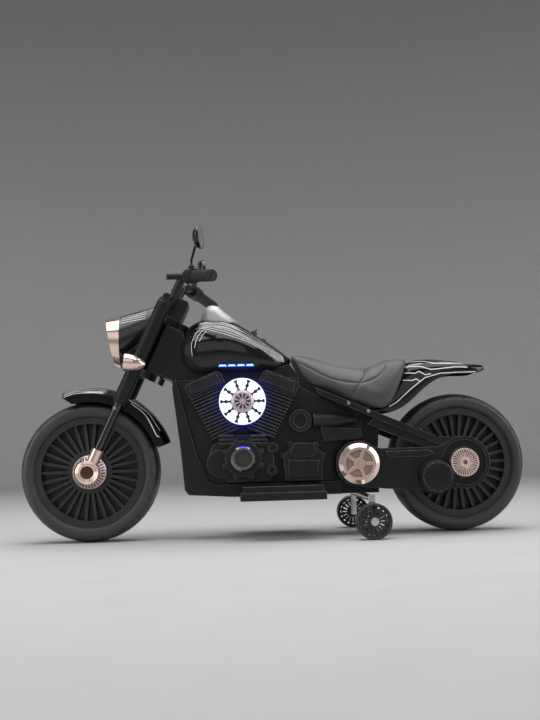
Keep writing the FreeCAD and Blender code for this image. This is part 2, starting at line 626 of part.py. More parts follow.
def make_motor_cover():
    body = new_body("motor_cap")
    half = sketch_on(body, "XY_Plane")
    outer, face = size("cover_dia") / 2, size("cover_face_dia") / 2
    wall, height = size("cover_wall"), size("cover_height")
    lip = height - 2 * wall
    polygon(half, [(outer - wall, 0), (outer, 0), (outer, -wall), (face, -lip), (face - wall, -height),
                   (0, -height), (0, wall - height), (face - 2 * wall, wall - height), (face - wall, -lip)])
    revolve(body, half, "V_Axis")
    notch = sketch_on(body, "XZ_Plane", "cover_height")
    reach = face - wall - size("notch_depth")
    rectangle(notch, (reach, -size("notch_width") / 2), (face + overrun, size("notch_width") / 2))
    first = add(body, "Pocket", notch, "cover_wall / 2")
    round_pattern(body, first, "notch_count")
    body.Placement = FreeCAD.Placement(motor_axis + left * size("arm_outer"), FreeCAD.Rotation())
    return body


keep("motor_cover", make_motor_cover())


# Swing arms with their hub rings, seat struts and ribbed hub caps
def make_arm(name, with_motor):
    body = new_body(name)
    depth = "arm_outer - body_half"
    web = sketch_on(body, "XZ_Plane", "body_half")
    polygon(web, side_points(arm_web_shares))
    add(body, "Pad", web, depth)
    front = sketch_on(body, "XZ_Plane", "body_half")
    circle(front, side_x(arm_front_share[0]), side_z(arm_front_share[1]), "arm_front_dia")
    add(body, "Pad", front, depth)
    rear = sketch_on(body, "XZ_Plane", "body_half")
    circle(rear, rear_axle.x, rear_axle.z, "arm_rear_dia")
    add(body, "Pad", rear, depth)
    groove = sketch_on(body, "XZ_Plane", "arm_outer")
    circle(groove, rear_axle.x, rear_axle.z, "arm_groove_dia")
    circle(groove, rear_axle.x, rear_axle.z, "arm_groove_inner_dia")
    add(body, "Pocket", groove, "arm_groove_depth")
    panel = sketch_on(body, "XZ_Plane", "arm_outer")
    polygon(panel, side_points(arm_panel_shares))
    add(body, "Pad", panel, "arm_panel")
    bore = sketch_on(body, "XZ_Plane", "arm_outer")
    circle(bore, rear_axle.x, rear_axle.z, "axle_dia", "run_gap")
    add(body, "Pocket", bore, depth + " + overrun")
    if with_motor:
        seat = sketch_on(body, "XZ_Plane", "arm_outer")
        circle(seat, motor_axis.x, motor_axis.z, "motor_dia", "seat_gap")
        add(body, "Pocket", seat, "arm_outer - body_half - motor_wall")
        hole = sketch_on(body, "XZ_Plane", "arm_outer")
        circle(hole, motor_axis.x, motor_axis.z, "shaft_hole_dia")
        add(body, "Pocket", hole, depth + " + overrun")
    return body


arm_left = keep("swing_arm_left", make_arm("arm_with_motor", True))
keep("swing_arm_right", mirrored("arm_plain_right", make_arm("arm_plain", False)))


def make_strut():
    body = new_body("strut_body")
    upper = sketch_on(body, "XZ_Plane", "strut_inner")
    polygon(upper, side_points(strut_shares))
    add(body, "Pad", upper, "arm_outer - strut_inner")
    lower = sketch_on(body, "XZ_Plane", "strut_low_inner")
    polygon(lower, side_points(strut_low_shares))
    add(body, "Pad", lower, "strut_low_outer - strut_low_inner")
    boss = sketch_on(body, "XZ_Plane", "body_half")
    circle(boss, side_x(strut_boss_share[0]), side_z(strut_boss_share[1]), "strut_boss_dia")
    add(body, "Pad", boss, "strut_inner - body_half + overrun")
    return body


pair("seat_struts", cut("strut_left", make_strut(), arm_left))


def ribbed_cap(name, diameter, tip, height, hole):
    body = new_body(name)
    half = sketch_on(body, "XY_Plane")
    outer, inner, bore = size(diameter) / 2, size(tip) / 2, size(hole) / 2
    polygon(half, [(bore, 0), (outer, 0), (inner, -size(height)), (bore, -size(height))])
    revolve(body, half, "V_Axis")
    rib = sketch_on(body, "XZ_Plane")
    rectangle(rib, (bore + size("cap_rib_height"), -size("cap_rib_width") / 2),
              (inner - size("cap_rib_height"), size("cap_rib_width") / 2))
    first = add(body, "Pad", rib, height + " + cap_rib_height")
    round_pattern(body, first, "cap_rib_count")
    return body


rear_cap = ribbed_cap("rear_cap", "hub_cap_dia", "hub_cap_dia", "hub_cap_height", "hub_cap_hole")
rear_cap.Placement = FreeCAD.Placement(rear_axle + left * size("arm_outer"), FreeCAD.Rotation())
pair("rear_hub_caps", rear_cap)
axle_end = rear_axle + left * size("arm_outer")
keep("rear_axle", cylinder("rear_axle_rod", "axle_dia", "2 * arm_outer", axle_end, along_y))


# Engine sides: panel, crankcase, finned V cylinders, gearbox and canister in one moulding
lean = math.radians(size("cylinder_lean"))
valley = Vector(side_x(valley_share[0]), 0, side_z(valley_share[1]))


def cylinder_point(side, up, across):
    foot = valley + along_x * (side * size("cylinder_foot"))
    axis = Vector(side * math.sin(lean), 0, math.cos(lean))
    square = Vector(math.cos(lean), 0, -side * math.sin(lean))
    point = foot + axis * up + square * across
    return (point.x, point.z)


def cylinder_half(up):
    low, high = size("cylinder_low") / 2, size("cylinder_high") / 2
    return low + (high - low) * up / size("cylinder_length")


def make_engine(name):
    body = new_body(name)

    def side_pad(points, depth):
        sketch = sketch_on(body, "XZ_Plane", "body_half")
        polygon(sketch, points)
        return add(body, "Pad", sketch, depth)

    def side_round(share, diameter, depth):
        sketch = sketch_on(body, "XZ_Plane", "body_half")
        circle(sketch, side_x(share[0]), side_z(share[1]), diameter)
        return add(body, "Pad", sketch, depth)

    side_pad(side_points(panel_shares), "panel_depth")
    side_pad(side_points(crank_shares), "crank_depth")
    top = size("cylinder_length")
    for side in (-1, 1):
        low, high = cylinder_half(0), cylinder_half(top)
        side_pad([cylinder_point(side, 0, -low), cylinder_point(side, 0, low),
                  cylinder_point(side, top, high), cylinder_point(side, top, -high)], "cylinder_depth")
        fins = sketch_on(body, "XZ_Plane", "body_half")
        count = int(size("fin_count"))
        for number in range(count):
            up = top * (number + 0.5) / count
            reach = cylinder_half(up) + size("fin_reach")
            half = size("fin_width") / 2
            polygon(fins, [cylinder_point(side, up - half, -reach), cylinder_point(side, up - half, reach),
                           cylinder_point(side, up + half, reach), cylinder_point(side, up + half, -reach)])
        add(body, "Pad", fins, "fin_depth")
        reach = high + size("cover_lip")
        corner = size("cover_corner")
        head = top + size("cover_rise")
        side_pad([cylinder_point(side, top, -reach), cylinder_point(side, top, reach),
                  cylinder_point(side, head - corner, reach), cylinder_point(side, head, reach - corner),
                  cylinder_point(side, head, corner - reach), cylinder_point(side, head - corner, -reach)],
                 "rocker_depth")
        inset = size("cap_inset")
        cap_low, cap_high = top + inset, head - inset / 2
        wide, narrow = reach - inset, reach - corner - inset / 2
        side_pad([cylinder_point(side, cap_low, -wide), cylinder_point(side, cap_low, wide),
                  cylinder_point(side, cap_high, narrow), cylinder_point(side, cap_high, -narrow)],
                 "rocker_depth + cap_proud")
    side_round(disc_share, "disc_seat_dia", "disc_seat_depth")
    side_pad(side_points(gearbox_shares), "gearbox_depth")
    side_pad(side_points(gear_cap_shares), "gearbox_depth + cap_proud")
    side_pad(side_points(gear_plate_shares), "gearbox_depth + panel_proud")
    for share in gear_ear_shares:
        side_round(share, "ear_dia", "ear_depth")
    for across, up, wide, tall in tappet_shares:
        block = [(across - wide / 2, up - tall / 2), (across + wide / 2, up - tall / 2),
                 (across + wide / 2, up + tall / 2), (across - wide / 2, up + tall / 2)]
        side_pad(side_points(block), "tappet_depth")
        ribs = sketch_on(body, "XZ_Plane", "body_half")
        half = size("tappet_rib") / 2
        for place in tappet_rib_shares:
            middle = side_z(up + tall * place)
            rectangle(ribs, (side_x(across - wide / 2) - half, middle - half),
                      (side_x(across + wide / 2) + half, middle + half))
        add(body, "Pad", ribs, "tappet_depth + cap_proud")
    side_round(case_bulge_share, "case_bulge_dia", "case_bulge")
    side_pad(side_points(box_shares), "box_depth")
    side_round(round_share, "round_dia", "round_depth")
    recess = sketch_on(body, "XZ_Plane", "body_half + round_depth")
    circle(recess, side_x(round_share[0]), side_z(round_share[1]), "round_hole_dia")
    add(body, "Pocket", recess, "panel_depth")
    for share in small_boss_shares:
        side_round(share, "boss_dia", "boss_depth")
        hollow = sketch_on(body, "XZ_Plane", "body_half + boss_depth")
        circle(hollow, side_x(share[0]), side_z(share[1]), "boss_hole_dia")
        add(body, "Pocket", hollow, "cap_proud")
    side_round(crank_cover_share, "crank_cover_dia", "crank_depth + crank_cover_depth")
    bosses = sketch_on(body, "XZ_Plane", "body_half")
    count = int(size("lug_boss_count"))
    for number in range(count):
        angle = math.pi * (2 * number + 1) / count
        circle(bosses, side_x(crank_cover_share[0]) + size("lug_ring_dia") / 2 * math.cos(angle),
               side_z(crank_cover_share[1]) + size("lug_ring_dia") / 2 * math.sin(angle), "lug_boss_dia")
    add(body, "Pad", bosses, "crank_depth + crank_cover_depth - panel_proud")
    bullet = sketch_on(body, "XZ_Plane", "body_half + canister_out")
    start_x, end_x = [side_x(share) for share in canister_shares]
    wide, narrow = size("canister_dia") / 2, size("canister_tip_dia") / 2
    axis_z = side_z(box_shares[0][1]) + wide - size("canister_sink")
    shoulder_share = 0.45
    shoulder_x = start_x + (end_x - start_x) * shoulder_share
    polygon(bullet, [(start_x, axis_z), (start_x, axis_z + wide), (shoulder_x, axis_z + wide),
                     (end_x, axis_z + narrow), (end_x, axis_z)])
    bullet.addGeometry(Part.LineSegment(Vector(start_x, axis_z, 0), Vector(end_x, axis_z, 0)), True)
    revolve(body, bullet, "Axis0")
    return body


engine_left = keep("engine_left", make_engine("engine_moulding"))
keep("engine_right", mirrored("engine_moulding_right", engine_left))


def face_place(share, out):
    return FreeCAD.Placement(Vector(side_x(share[0]), -out, side_z(share[1])), FreeCAD.Rotation())


def make_crank_cover():
    body = new_body("crank_cover")
    half = sketch_on(body, "XY_Plane")
    outer, inner = size("crank_ring_dia") / 2, size("crank_disc_dia") / 2
    depth, step = size("crank_ring_depth"), size("crank_ring_depth") / 2
    polygon(half, [(0, 0), (outer, 0), (outer, -step), (outer - step, -depth), (inner, -depth),
                   (inner, -step), (0, -step)])
    revolve(body, half, "V_Axis")
    seat = size("body_half") + size("crank_depth") + size("crank_cover_depth")
    body.Placement = face_place(crank_cover_share, seat)
    return body


pair("crankcase_covers", make_crank_cover())


def make_light_disc():
    body = new_body("light_disc")
    half = sketch_on(body, "XY_Plane")
    outer, depth = size("disc_dia") / 2, size("disc_depth")
    bevel = depth / 3
    polygon(half, [(0, 0), (outer - bevel, 0), (outer, -bevel), (outer, bevel - depth),
                   (outer - bevel, -depth), (0, -depth)])
    revolve(body, half, "V_Axis")
    rib = sketch_on(body, "XZ_Plane", "disc_depth")
    rectangle(rib, (size("disc_hub_dia") / 2 - overrun, -size("disc_rib_width") / 2),
              (outer - 2 * bevel, size("disc_rib_width") / 2))
    first = add(body, "Pad", rib, "disc_rib_height")
    round_pattern(body, first, "disc_rib_count")
    hub = sketch_on(body, "XZ_Plane", "disc_depth + disc_rib_height")
    circle(hub, 0, 0, "disc_hub_dia")
    add(body, "Pocket", hub, "disc_rib_height")
    body.Placement = face_place(disc_share, size("body_half") + size("disc_seat_depth"))
    return body


def make_disc_hub():
    body = new_body("disc_hub")
    half = sketch_on(body, "XY_Plane")
    outer, inner, depth = size("disc_hub_dia") / 2, size("disc_hub_tip_dia") / 2, size("disc_hub_depth")
    polygon(half, [(0, 0), (outer, 0), (outer, -depth / 2), (inner, -depth), (0, -depth)])
    revolve(body, half, "V_Axis")
    petal = sketch_on(body, "XZ_Plane", "disc_hub_depth")
    rectangle(petal, (inner / 2, -size("petal_width") / 2), (inner - overrun, size("petal_width") / 2))
    first = add(body, "Pocket", petal, "petal_depth")
    round_pattern(body, first, "petal_count")
    body.Placement = face_place(disc_share, size("body_half") + size("disc_seat_depth") + size("disc_depth"))
    return body


pair("light_discs", make_light_disc())
pair("light_disc_hubs", make_disc_hub())


def make_round_cover():
    body = new_body("round_cover")
    half = sketch_on(body, "XY_Plane")
    outer, depth = size("dome_dia") / 2, size("dome_depth")
    edge = depth / 2
    shoulder_share = 0.8
    polygon(half, [(0, 0), (outer, 0), (outer, -edge), (outer * shoulder_share, -depth), (0, -depth)])
    revolve(body, half, "V_Axis")
    sector = sketch_on(body, "XZ_Plane", "dome_depth")
    inner, rim = size("dome_hub_dia") / 2, outer * shoulder_share - size("dome_rim") / 2
    count = size("dome_spokes")
    clear = size("dome_spoke_width") / 2
    start = math.asin(clear / inner)
    begin = math.asin(clear / rim)
    turn = 2 * math.pi / count

    def spot(radius, angle):
        return (radius * math.cos(angle), radius * math.sin(angle))

    line(sector, spot(inner, start), spot(rim, begin))
    arc(sector, spot(rim, begin), spot(rim, turn / 2), spot(rim, turn - begin))
    line(sector, spot(rim, turn - begin), spot(inner, turn - start))
    arc(sector, spot(inner, turn - start), spot(inner, turn / 2), spot(inner, start))
    first = add(body, "Pocket", sector, "dome_pocket_depth")
    round_pattern(body, first, "dome_spokes")
    body.Placement = face_place(arm_front_share, size("arm_outer"))
    return body


pair("round_covers", make_round_cover())


# Footboards with the accelerator pedal on the right one
foot_start = -size("foot_length") / 2 + size("foot_back")
foot_end = foot_start + size("foot_length")
pivot_x = foot_end - size("pedal_length")
pivot_z = size("foot_low") + size("foot_base") + size("foot_top") + size("pedal_lift")


def make_footboard(name, with_lugs):
    body = new_body(name)
    base = sketch_on(body, "XY_Plane", "foot_low")
    rectangle(base, (foot_start, -size("foot_out")), (foot_end, -size("rail_half")))
    add(body, "Pad", base, "foot_base")
    tread = sketch_on(body, "XY_Plane", "foot_low + foot_base")
    bevel = size("foot_bevel")
    rectangle(tread, (foot_start + bevel, bevel - size("foot_out")), (foot_end - bevel, -size("rail_half")))
    add(body, "Pad", tread, "foot_top")
    hollow = sketch_on(body, "XY_Plane", "foot_low")
    wall = size("foot_wall")
    near, far = wall - size("foot_out"), -size("rail_half") - wall
    rectangle(hollow, (foot_start + wall, near), (foot_end - wall, far))
    add(body, "Pocket", hollow, "foot_hollow", backwards=True)
    if with_lugs:
        half = size("lug_length") / 2
        foot_z = size("foot_low") + size("foot_base") + size("foot_top") - overrun
        for start in ("rail_half + lug_inset", "foot_out - foot_bevel - lug_edge - lug_width"):
            lug = sketch_on(body, "XZ_Plane", start)
            rectangle(lug, (pivot_x - half, foot_z), (pivot_x + half, pivot_z + half))
            circle(lug, pivot_x, pivot_z, "pedal_pin_dia", "run_gap")
            add(body, "Pad", lug, "lug_width")
    return body


def make_pedal():
    body = new_body("pedal_plate")
    gap = "rail_half + lug_inset + lug_width + pedal_gap"
    width = "foot_out - foot_bevel - rail_half - lug_inset - lug_edge - 2 * lug_width - 2 * pedal_gap"
    barrel = sketch_on(body, "XZ_Plane", gap)
    circle(barrel, pivot_x, pivot_z, "pedal_barrel_dia")
    add(body, "Pad", barrel, width)
    plate = sketch_on(body, "XZ_Plane", gap)
    slope = math.radians(size("pedal_slope"))
    ahead = Vector(-math.cos(slope), math.sin(slope), 0)
    above = Vector(math.sin(slope), math.cos(slope), 0)
    pivot = Vector(pivot_x, pivot_z, 0)
    half = above * (size("pedal_thickness") / 2)
    toe = pivot + ahead * size("pedal_length")
    corners = [pivot - half, pivot + half, toe + half, toe - half]
    polygon(plate, [(corner.x, corner.y) for corner in corners])
    add(body, "Pad", plate, width)
    pin = sketch_on(body, "XZ_Plane", "rail_half + lug_inset")
    circle(pin, pivot_x, pivot_z, "pedal_pin_dia")
    add(body, "Pad", pin, "foot_out - foot_bevel - rail_half - lug_inset - lug_edge")
    return body


keep("footboard_left", make_footboard("foot_left", False))
keep("footboard_right", mirrored("foot_right", make_footboard("foot_with_lugs", True)))
keep("accelerator_pedal", mirrored("pedal_right", make_pedal()))


# Stabiliser: cross bar under the floor, legs with stub axles, two small wheels
bar_radius = size("bar_tube_dia") / 2
under_floor = side_z(floor_shares[0][1])
stabiliser_x = side_x(stabiliser_share)
cross_bar = Vector(stabiliser_x, -size("leg_half"), under_floor - bar_radius - size("rest_gap"))
keep("stabiliser_bar", cylinder("cross_bar", "bar_tube_dia", "2 * leg_half", cross_bar, along_y))
small_axle = Vector(stabiliser_x, -size("leg_half") - size("leg_thickness"), size("small_wheel_dia") / 2)


def make_leg():
    body = new_body("leg_plate")
    plate = sketch_on(body, "XZ_Plane", "leg_half")
    half = size("leg_width") / 2
    rectangle(plate, (stabiliser_x - half, small_axle.z - half), (stabiliser_x + half, under_floor))
    add(body, "Pad", plate, "leg_thickness")
    stub = sketch_on(body, "XZ_Plane", "leg_half + leg_thickness")
    circle(stub, stabiliser_x, small_axle.z, "axle_dia")
    add(body, "Pad", stub, "small_wheel_width + 2 * small_side_gap")
    head = sketch_on(body, "XZ_Plane", "leg_half + leg_thickness + small_wheel_width + 2 * small_side_gap")
    circle(head, stabiliser_x, small_axle.z, "bolt_head_dia")
    add(body, "Pad", head, "bolt_head")
    return body


pair("stabiliser_legs", make_leg())


def make_small_wheel():
    body = new_body("small_wheel")
    half = sketch_on(body, "XY_Plane")
    outer, width = size("small_wheel_dia") / 2, size("small_wheel_width") / 2
    inner, plate = outer - size("small_rim_wall"), size("small_plate") / 2
    hub = size("small_hub_dia") / 2
    edge = size("small_rim_wall") / 3
    polygon(half, [(axle_bore, -width), (hub, -width), (hub, -plate), (inner, -plate), (inner, edge - width),
                   (inner + edge, -width), (outer - edge, -width), (outer, edge - width),
                   (outer, width - edge), (outer - edge, width), (inner + edge, width),
                   (inner, width - edge), (inner, plate), (hub, plate), (hub, width), (axle_bore, width)])
    revolve(body, half, "V_Axis")
    for low, high, across in (("slot_start", "slot_end", "slot_width"),
                              ("outer_slot_start", "outer_slot_end", "outer_slot_width")):
        slot = sketch_on(body, "XZ_Plane", "small_plate / 2 + overrun")
        rectangle(slot, (size(low), -size(across) / 2), (size(high), size(across) / 2))
        first = add(body, "Pocket", slot, "small_plate + 2 * overrun")
        round_pattern(body, first, "small_slots")
    middle = small_axle + left * (size("small_side_gap") + width)
    body.Placement = FreeCAD.Placement(middle, FreeCAD.Rotation())
    return body


small_wheel = keep("stabiliser_wheel_left", make_small_wheel())
keep("stabiliser_wheel_right", mirrored("small_wheel_right", small_wheel))


# Road wheels: spoked rim and balloon tyre
def make_rim(name, centre):
    body = new_body(name)
    half = sketch_on(body, "XY_Plane")
    seat = size("bead_dia") / 2 - size("seat_gap")
    barrel, hub = size("bead_dia") / 2 - size("rim_wall"), size("hub_dia") / 2
    rim, web, width = size("rim_width") / 2, size("web_width") / 2, size("hub_width") / 2
    flange, step = size("hub_flange_dia") / 2, size("hub_flange_width") / 2
    polygon(half, [(axle_bore, -width), (hub, -width), (hub, -step), (flange, -step), (flange, -web),
                   (barrel, -web), (barrel, -rim), (seat, -rim), (seat, rim), (barrel, rim), (barrel, web),
                   (flange, web), (flange, step), (hub, step), (hub, width), (axle_bore, width)])
    revolve(body, half, "V_Axis")
    spoke = sketch_on(body, "XZ_Plane", "-spoke_depth / 2")
    rectangle(spoke, (flange - overrun, -size("spoke_width") / 2), (barrel + overrun, size("spoke_width") / 2))
    first = add(body, "Pad", spoke, "spoke_depth")
    round_pattern(body, first, "spoke_count")
    body.Placement = FreeCAD.Placement(centre, FreeCAD.Rotation())
    return body


def make_tyre(name, centre):
    body = new_body(name)
    half = sketch_on(body, "XY_Plane")
    bead, tread = size("bead_dia") / 2, size("wheel_dia") / 2
    width, seat = size("tyre_width") / 2, size("rim_width") / 2
    shoulder = tread - size("tyre_shoulder")
    middle = (bead + shoulder) / 2
    edge = width - size("tyre_bulge")
    line(half, (bead, -seat), (bead, seat))
    arc(half, (bead, seat), (middle, width), (shoulder, edge))
    arc(half, (shoulder, edge), (tread, 0), (shoulder, -edge))
    arc(half, (shoulder, -edge), (middle, -width), (bead, -seat))
    revolve(body, half, "V_Axis")
    body.Placement = FreeCAD.Placement(centre, FreeCAD.Rotation())
    return body


keep("front_rim", make_rim("front_rim_body", front_axle))
keep("front_tyre", make_tyre("front_tyre_body", front_axle))
keep("rear_rim", make_rim("rear_rim_body", rear_axle))
keep("rear_tyre", make_tyre("rear_tyre_body", rear_axle))
hub_cover = ribbed_cap("front_hub_cover", "hub_cover_dia", "hub_cover_tip_dia", "hub_cover_height", "nut_dia")
hub_cover.Placement = FreeCAD.Placement(front_axle + left * (size("hub_width") / 2), FreeCAD.Rotation())
pair("front_hub_covers", hub_cover)


# Fork: upper and lower tubes, axle clamps, axle, clamps and stem
fork_back = -size("fork_offset")
fork_left = -size("fork_half")
upper_tube = cylinder("fork_upper", "fork_upper_dia", "fork_top - fork_joint - fork_taper",
                      head_point(size("fork_joint") + size("fork_taper"), fork_back, fork_left), head_up)
taper = doc.addObject("Part::Cone", "fork_taper")
taper.setExpression("Radius1", cells("fork_lower_dia / 2 + fork_cap_step * 2"))
taper.setExpression("Radius2", cells("fork_upper_dia / 2"))
taper.setExpression("Height", cells("fork_taper"))
taper.Placement = FreeCAD.Placement(head_point(size("fork_joint"), fork_back, fork_left),
                                    FreeCAD.Rotation(along_z, head_up))
cap_ring = cylinder("fork_cap", "fork_upper_dia", "fork_cap_height",
                    head_point(size("fork_top"), fork_back, fork_left), head_up, margin="0 - fork_cap_step")
fork_bore = cylinder("fork_bore", "fork_lower_dia", "fork_overlap + overrun",
                     head_point(size("fork_joint") - overrun, fork_back, fork_left), head_up, margin="run_gap")
fork_outer = fuse("fork_outer", [upper_tube, taper, cap_ring])
pair("fork_uppers", cut("fork_upper_left", fork_outer, fork_bore))
lower_start = head_point(size("axle_clamp_dia") / 2, fork_back, fork_left)
lower_length = "fork_joint + fork_overlap - axle_clamp_dia / 2 - rest_gap"
lower_tube = cylinder("fork_lower_left", "fork_lower_dia", lower_length, lower_start, head_up)
pair("fork_lowers", lower_tube)

ring_inner = size("fork_half") - size("axle_clamp_inner")
clamp_ring = cylinder("clamp_ring", "axle_clamp_dia", "axle_clamp_width",
                      front_axle + left * ring_inner, left)
clamp_sleeve = cylinder("clamp_sleeve", "clamp_sleeve_dia", "clamp_sleeve_length",
                        head_point(0, fork_back, fork_left), head_up)
sleeve_bore = cylinder("sleeve_bore", "fork_lower_dia", "clamp_sleeve_length + overrun",
                       lower_start, head_up, margin="run_gap")
clamp_bore = cylinder("clamp_bore", "axle_dia", "axle_clamp_width + clamp_sleeve_dia",
                      front_axle + left * (ring_inner - size("clamp_sleeve_dia") / 2), left, margin="run_gap")
nut_seat = ring_inner + size("axle_clamp_width") - size("axle_clamp_recess")
clamp_recess = cylinder("clamp_recess", "axle_clamp_bore", "axle_clamp_recess + overrun",
                        front_axle + left * nut_seat, left)
clamp_solid = fuse("clamp_solid", [clamp_ring, clamp_sleeve])
clamp_holes = fuse("clamp_holes", [sleeve_bore, clamp_bore, clamp_recess])
pair("axle_clamps", cut("axle_clamp_left", clamp_solid, clamp_holes))
rod_length = "2 * (fork_half - axle_clamp_inner + axle_clamp_width - axle_clamp_recess)"
axle_rod = cylinder("front_axle_rod", "axle_dia", rod_length, front_axle + left * nut_seat, along_y)
nut = cylinder("axle_nut", "nut_dia", "nut_height", front_axle + left * nut_seat, left)
keep("front_axle", fuse("front_axle_set", [axle_rod, nut, mirrored("axle_nut_right", nut)]))


# A fork clamp: a boss round the stem and two arms out to the fork tubes
def clamp_plate(low, height, waist):
    boss = size("clamp_boss_dia") / 2
    reach = size("fork_half")
    front = -size("fork_offset") - waist / 2
    outline = [(front, -reach), (front, reach), (front + waist, reach), (0, boss), (0, -boss),
               (front + waist, -reach)]
    corners = [head_point(low, back, across) for back, across in outline]
    plate = Part.Face(Part.makePolygon(corners + corners[:1])).extrude(head_up * height)
    shape = plate.fuse(Part.makeCylinder(boss, height, head_point(low, 0), head_up))
    tube = size("fork_upper_dia") / 2 + size("run_gap")
    for across in (-reach, reach):
        base = head_point(low - overrun, -size("fork_offset"), across)
        shape = shape.cut(Part.makeCylinder(tube, height + 2 * overrun, base, head_up))
    inside = Part.makeBox(4 * reach, 2 * reach, 4 * reach)
    inside.Placement = FreeCAD.Placement(head_point(low - reach, -2 * reach, -reach),
                                         FreeCAD.Rotation(head_back, along_y, head_up, "ZXY"))
    return shape.common(inside).Solids


def main_solid(pieces):
    return max(pieces, key=lambda piece: piece.Volume)


lower_low = size("neck_low") - size("head_gap") - size("clamp_thickness")
lower_plate = main_solid(clamp_plate(lower_low, size("clamp_thickness"), size("clamp_width")))
upper_low = size("neck_high") + size("head_gap")
stem_top = upper_low + size("clamp_thickness")
stem = Part.makeCylinder(size("stem_dia") / 2, stem_top - lower_low, head_point(lower_low, 0), head_up)
keep("steering_stem", solid("stem_with_clamp", lower_plate.fuse(stem)))
upper_plate = main_solid(clamp_plate(upper_low, size("clamp_thickness"), size("clamp_width")))
upper_hole = Part.makeCylinder(size("stem_dia") / 2 + size("seat_gap"), size("clamp_thickness") + 2 * overrun,
                               head_point(upper_low - overrun, 0), head_up)
keep("upper_clamp", solid("upper_clamp_plate", upper_plate.cut(upper_hole)))


# Front fender: a crowned arch with skirts, carried on two bosses at the fork
def make_front_fender():
    body = new_body("fender_arch")
    half = sketch_on(body, "XY_Plane")
    wall = size("fender_wall")
    crown = size("wheel_dia") / 2 + size("fender_clear") + wall
    side = size("tyre_width") / 2 + size("fender_side")
    lip = crown - size("fender_skirt")
    shoulder = crown - size("fender_corner")
    line(half, (lip, -side), (lip, wall - side))
    line(half, (lip, wall - side), (shoulder - wall, wall - side))
    arc(half, (shoulder - wall, wall - side), (crown - wall, 0), (shoulder - wall, side - wall))
    line(half, (shoulder - wall, side - wall), (lip, side - wall))
    line(half, (lip, side - wall), (lip, side))
    line(half, (lip, side), (shoulder, side))
    arc(half, (shoulder, side), (crown, 0), (shoulder, -side))
    line(half, (shoulder, -side), (lip, -side))
    revolve(body, half, "V_Axis", angle="fender_turn")
    body.Placement = FreeCAD.Placement(front_axle, FreeCAD.Rotation(along_y, -size("fender_front")))
    return body


fender_side = size("tyre_width") / 2 + size("fender_side")
boss_place = head_point(size("fork_joint") - size("fender_boss_drop"), fork_back)
boss_place = boss_place + left * (fender_side - size("fender_wall"))
boss_reach = "fork_half - fork_lower_dia / 2 - tyre_width / 2 - fender_side + fender_wall - rest_gap"
fender_boss = cylinder("fender_boss", "fender_boss_dia", boss_reach, boss_place, left)
fender_set = fuse("front_fender_set", [make_front_fender(), fender_boss,
                                       mirrored("fender_boss_right", fender_boss)])
fender_crown = size("wheel_dia") / 2 + size("fender_clear") + size("fender_wall")
fender_lip = fender_crown - size("fender_skirt")


def fender_spot(radius, degrees):
    angle = math.radians(degrees)
    return (front_axle.x + radius * math.cos(angle), front_axle.z + radius * math.sin(angle))


tip_outline = [fender_spot(fender_lip - overrun, size("fender_front") + size("fender_tip")),
               fender_spot(fender_crown - size("fender_corner"), size("fender_front")),
               fender_spot(fender_lip - overrun, size("fender_front") - size("fender_tip"))]
tip_wedge = solid("fender_tip_wedge", prism(tip_outline, size("tyre_width")))
keep("front_fender", cut("front_fender_trim", fender_set, tip_wedge))


# Headlight: shell in front of the fork, bezel and domed lens
lamp_axis_tilt = math.radians(size("lamp_tilt"))
lamp_forward = Vector(-1, 0, 0)
lamp_back = head_point(size("shell_centre"), fork_back - size("lamp_forward"))
lamp_back.z = axle_height + size("lamp_height")
lamp_front = lamp_back + lamp_forward * size("lamp_depth")
front_up = Vector(-math.sin(lamp_axis_tilt), 0, math.cos(lamp_axis_tilt))
back_radius, front_radius = size("lamp_back_dia") / 2, size("lamp_front_dia") / 2


def round_wire(centre, up, radius):
    edge_share = 0.999
    return ellipse_wire(centre, up * radius, along_y * (radius * edge_share))


lens_radius = size("lamp_lens_dia") / 2
bezel_outer = Part.makeLoft([round_wire(lamp_back, along_z, back_radius),
                             round_wire(lamp_front, front_up, front_radius)], True)
hole_start = round_wire(lamp_back - lamp_forward * overrun, along_z, lens_radius)
hole_end = round_wire(lamp_front + lamp_forward * (2 * overrun), front_up, lens_radius)
bezel_hole = Part.makeLoft([hole_start, hole_end], True)
keep("headlight_bezel", solid("bezel_ring", bezel_outer.cut(bezel_hole)))
lens_inside = lens_radius - size("seat_gap")
lens_rod = Part.makeLoft([round_wire(lamp_back, along_z, lens_inside),
                          round_wire(lamp_front + lamp_forward * overrun, front_up, lens_inside)], True)
dome_centre = lamp_front - lamp_forward * (size("lamp_dome") - overrun)
keep("headlight_lens", solid("lens_dome", lens_rod.common(Part.makeSphere(size("lamp_dome"), dome_centre))))
shell_front = lamp_back - lamp_forward * size("rest_gap")
shell_back = head_point(size("shell_centre"), fork_back - size("clamp_width") / 2 - size("rest_gap"))
shell_end = ellipse_wire(shell_back, head_up * size("shell_rise"), along_y * size("shell_half"))
shell_start = round_wire(shell_front, along_z, back_radius - size("shell_front_gap"))
shell_loft = Part.makeLoft([shell_start, shell_end], True)
keep("headlight_shell", solid("lamp_shell", shell_loft))


# Turn signals on the outer side of the fork tubes
def make_signal():
    body = new_body("signal_bullet")
    half = sketch_on(body, "XY_Plane")
    wide, tip, length = size("signal_dia") / 2, size("signal_tip_dia") / 2, size("signal_length")
    lens, depth = size("signal_lens_dia") / 2, size("signal_lens_depth")
    bulge_share = (0.55, 0.82)
    line(half, (depth, 0), (depth, lens))
    line(half, (depth, lens), (0, lens))
    line(half, (0, lens), (0, wide))
    arc(half, (0, wide), (length * bulge_share[0], wide * bulge_share[1]), (length, tip))
    line(half, (length, tip), (length, 0))
    line(half, (length, 0), (depth, 0))
    revolve(body, half, "H_Axis")
    return body


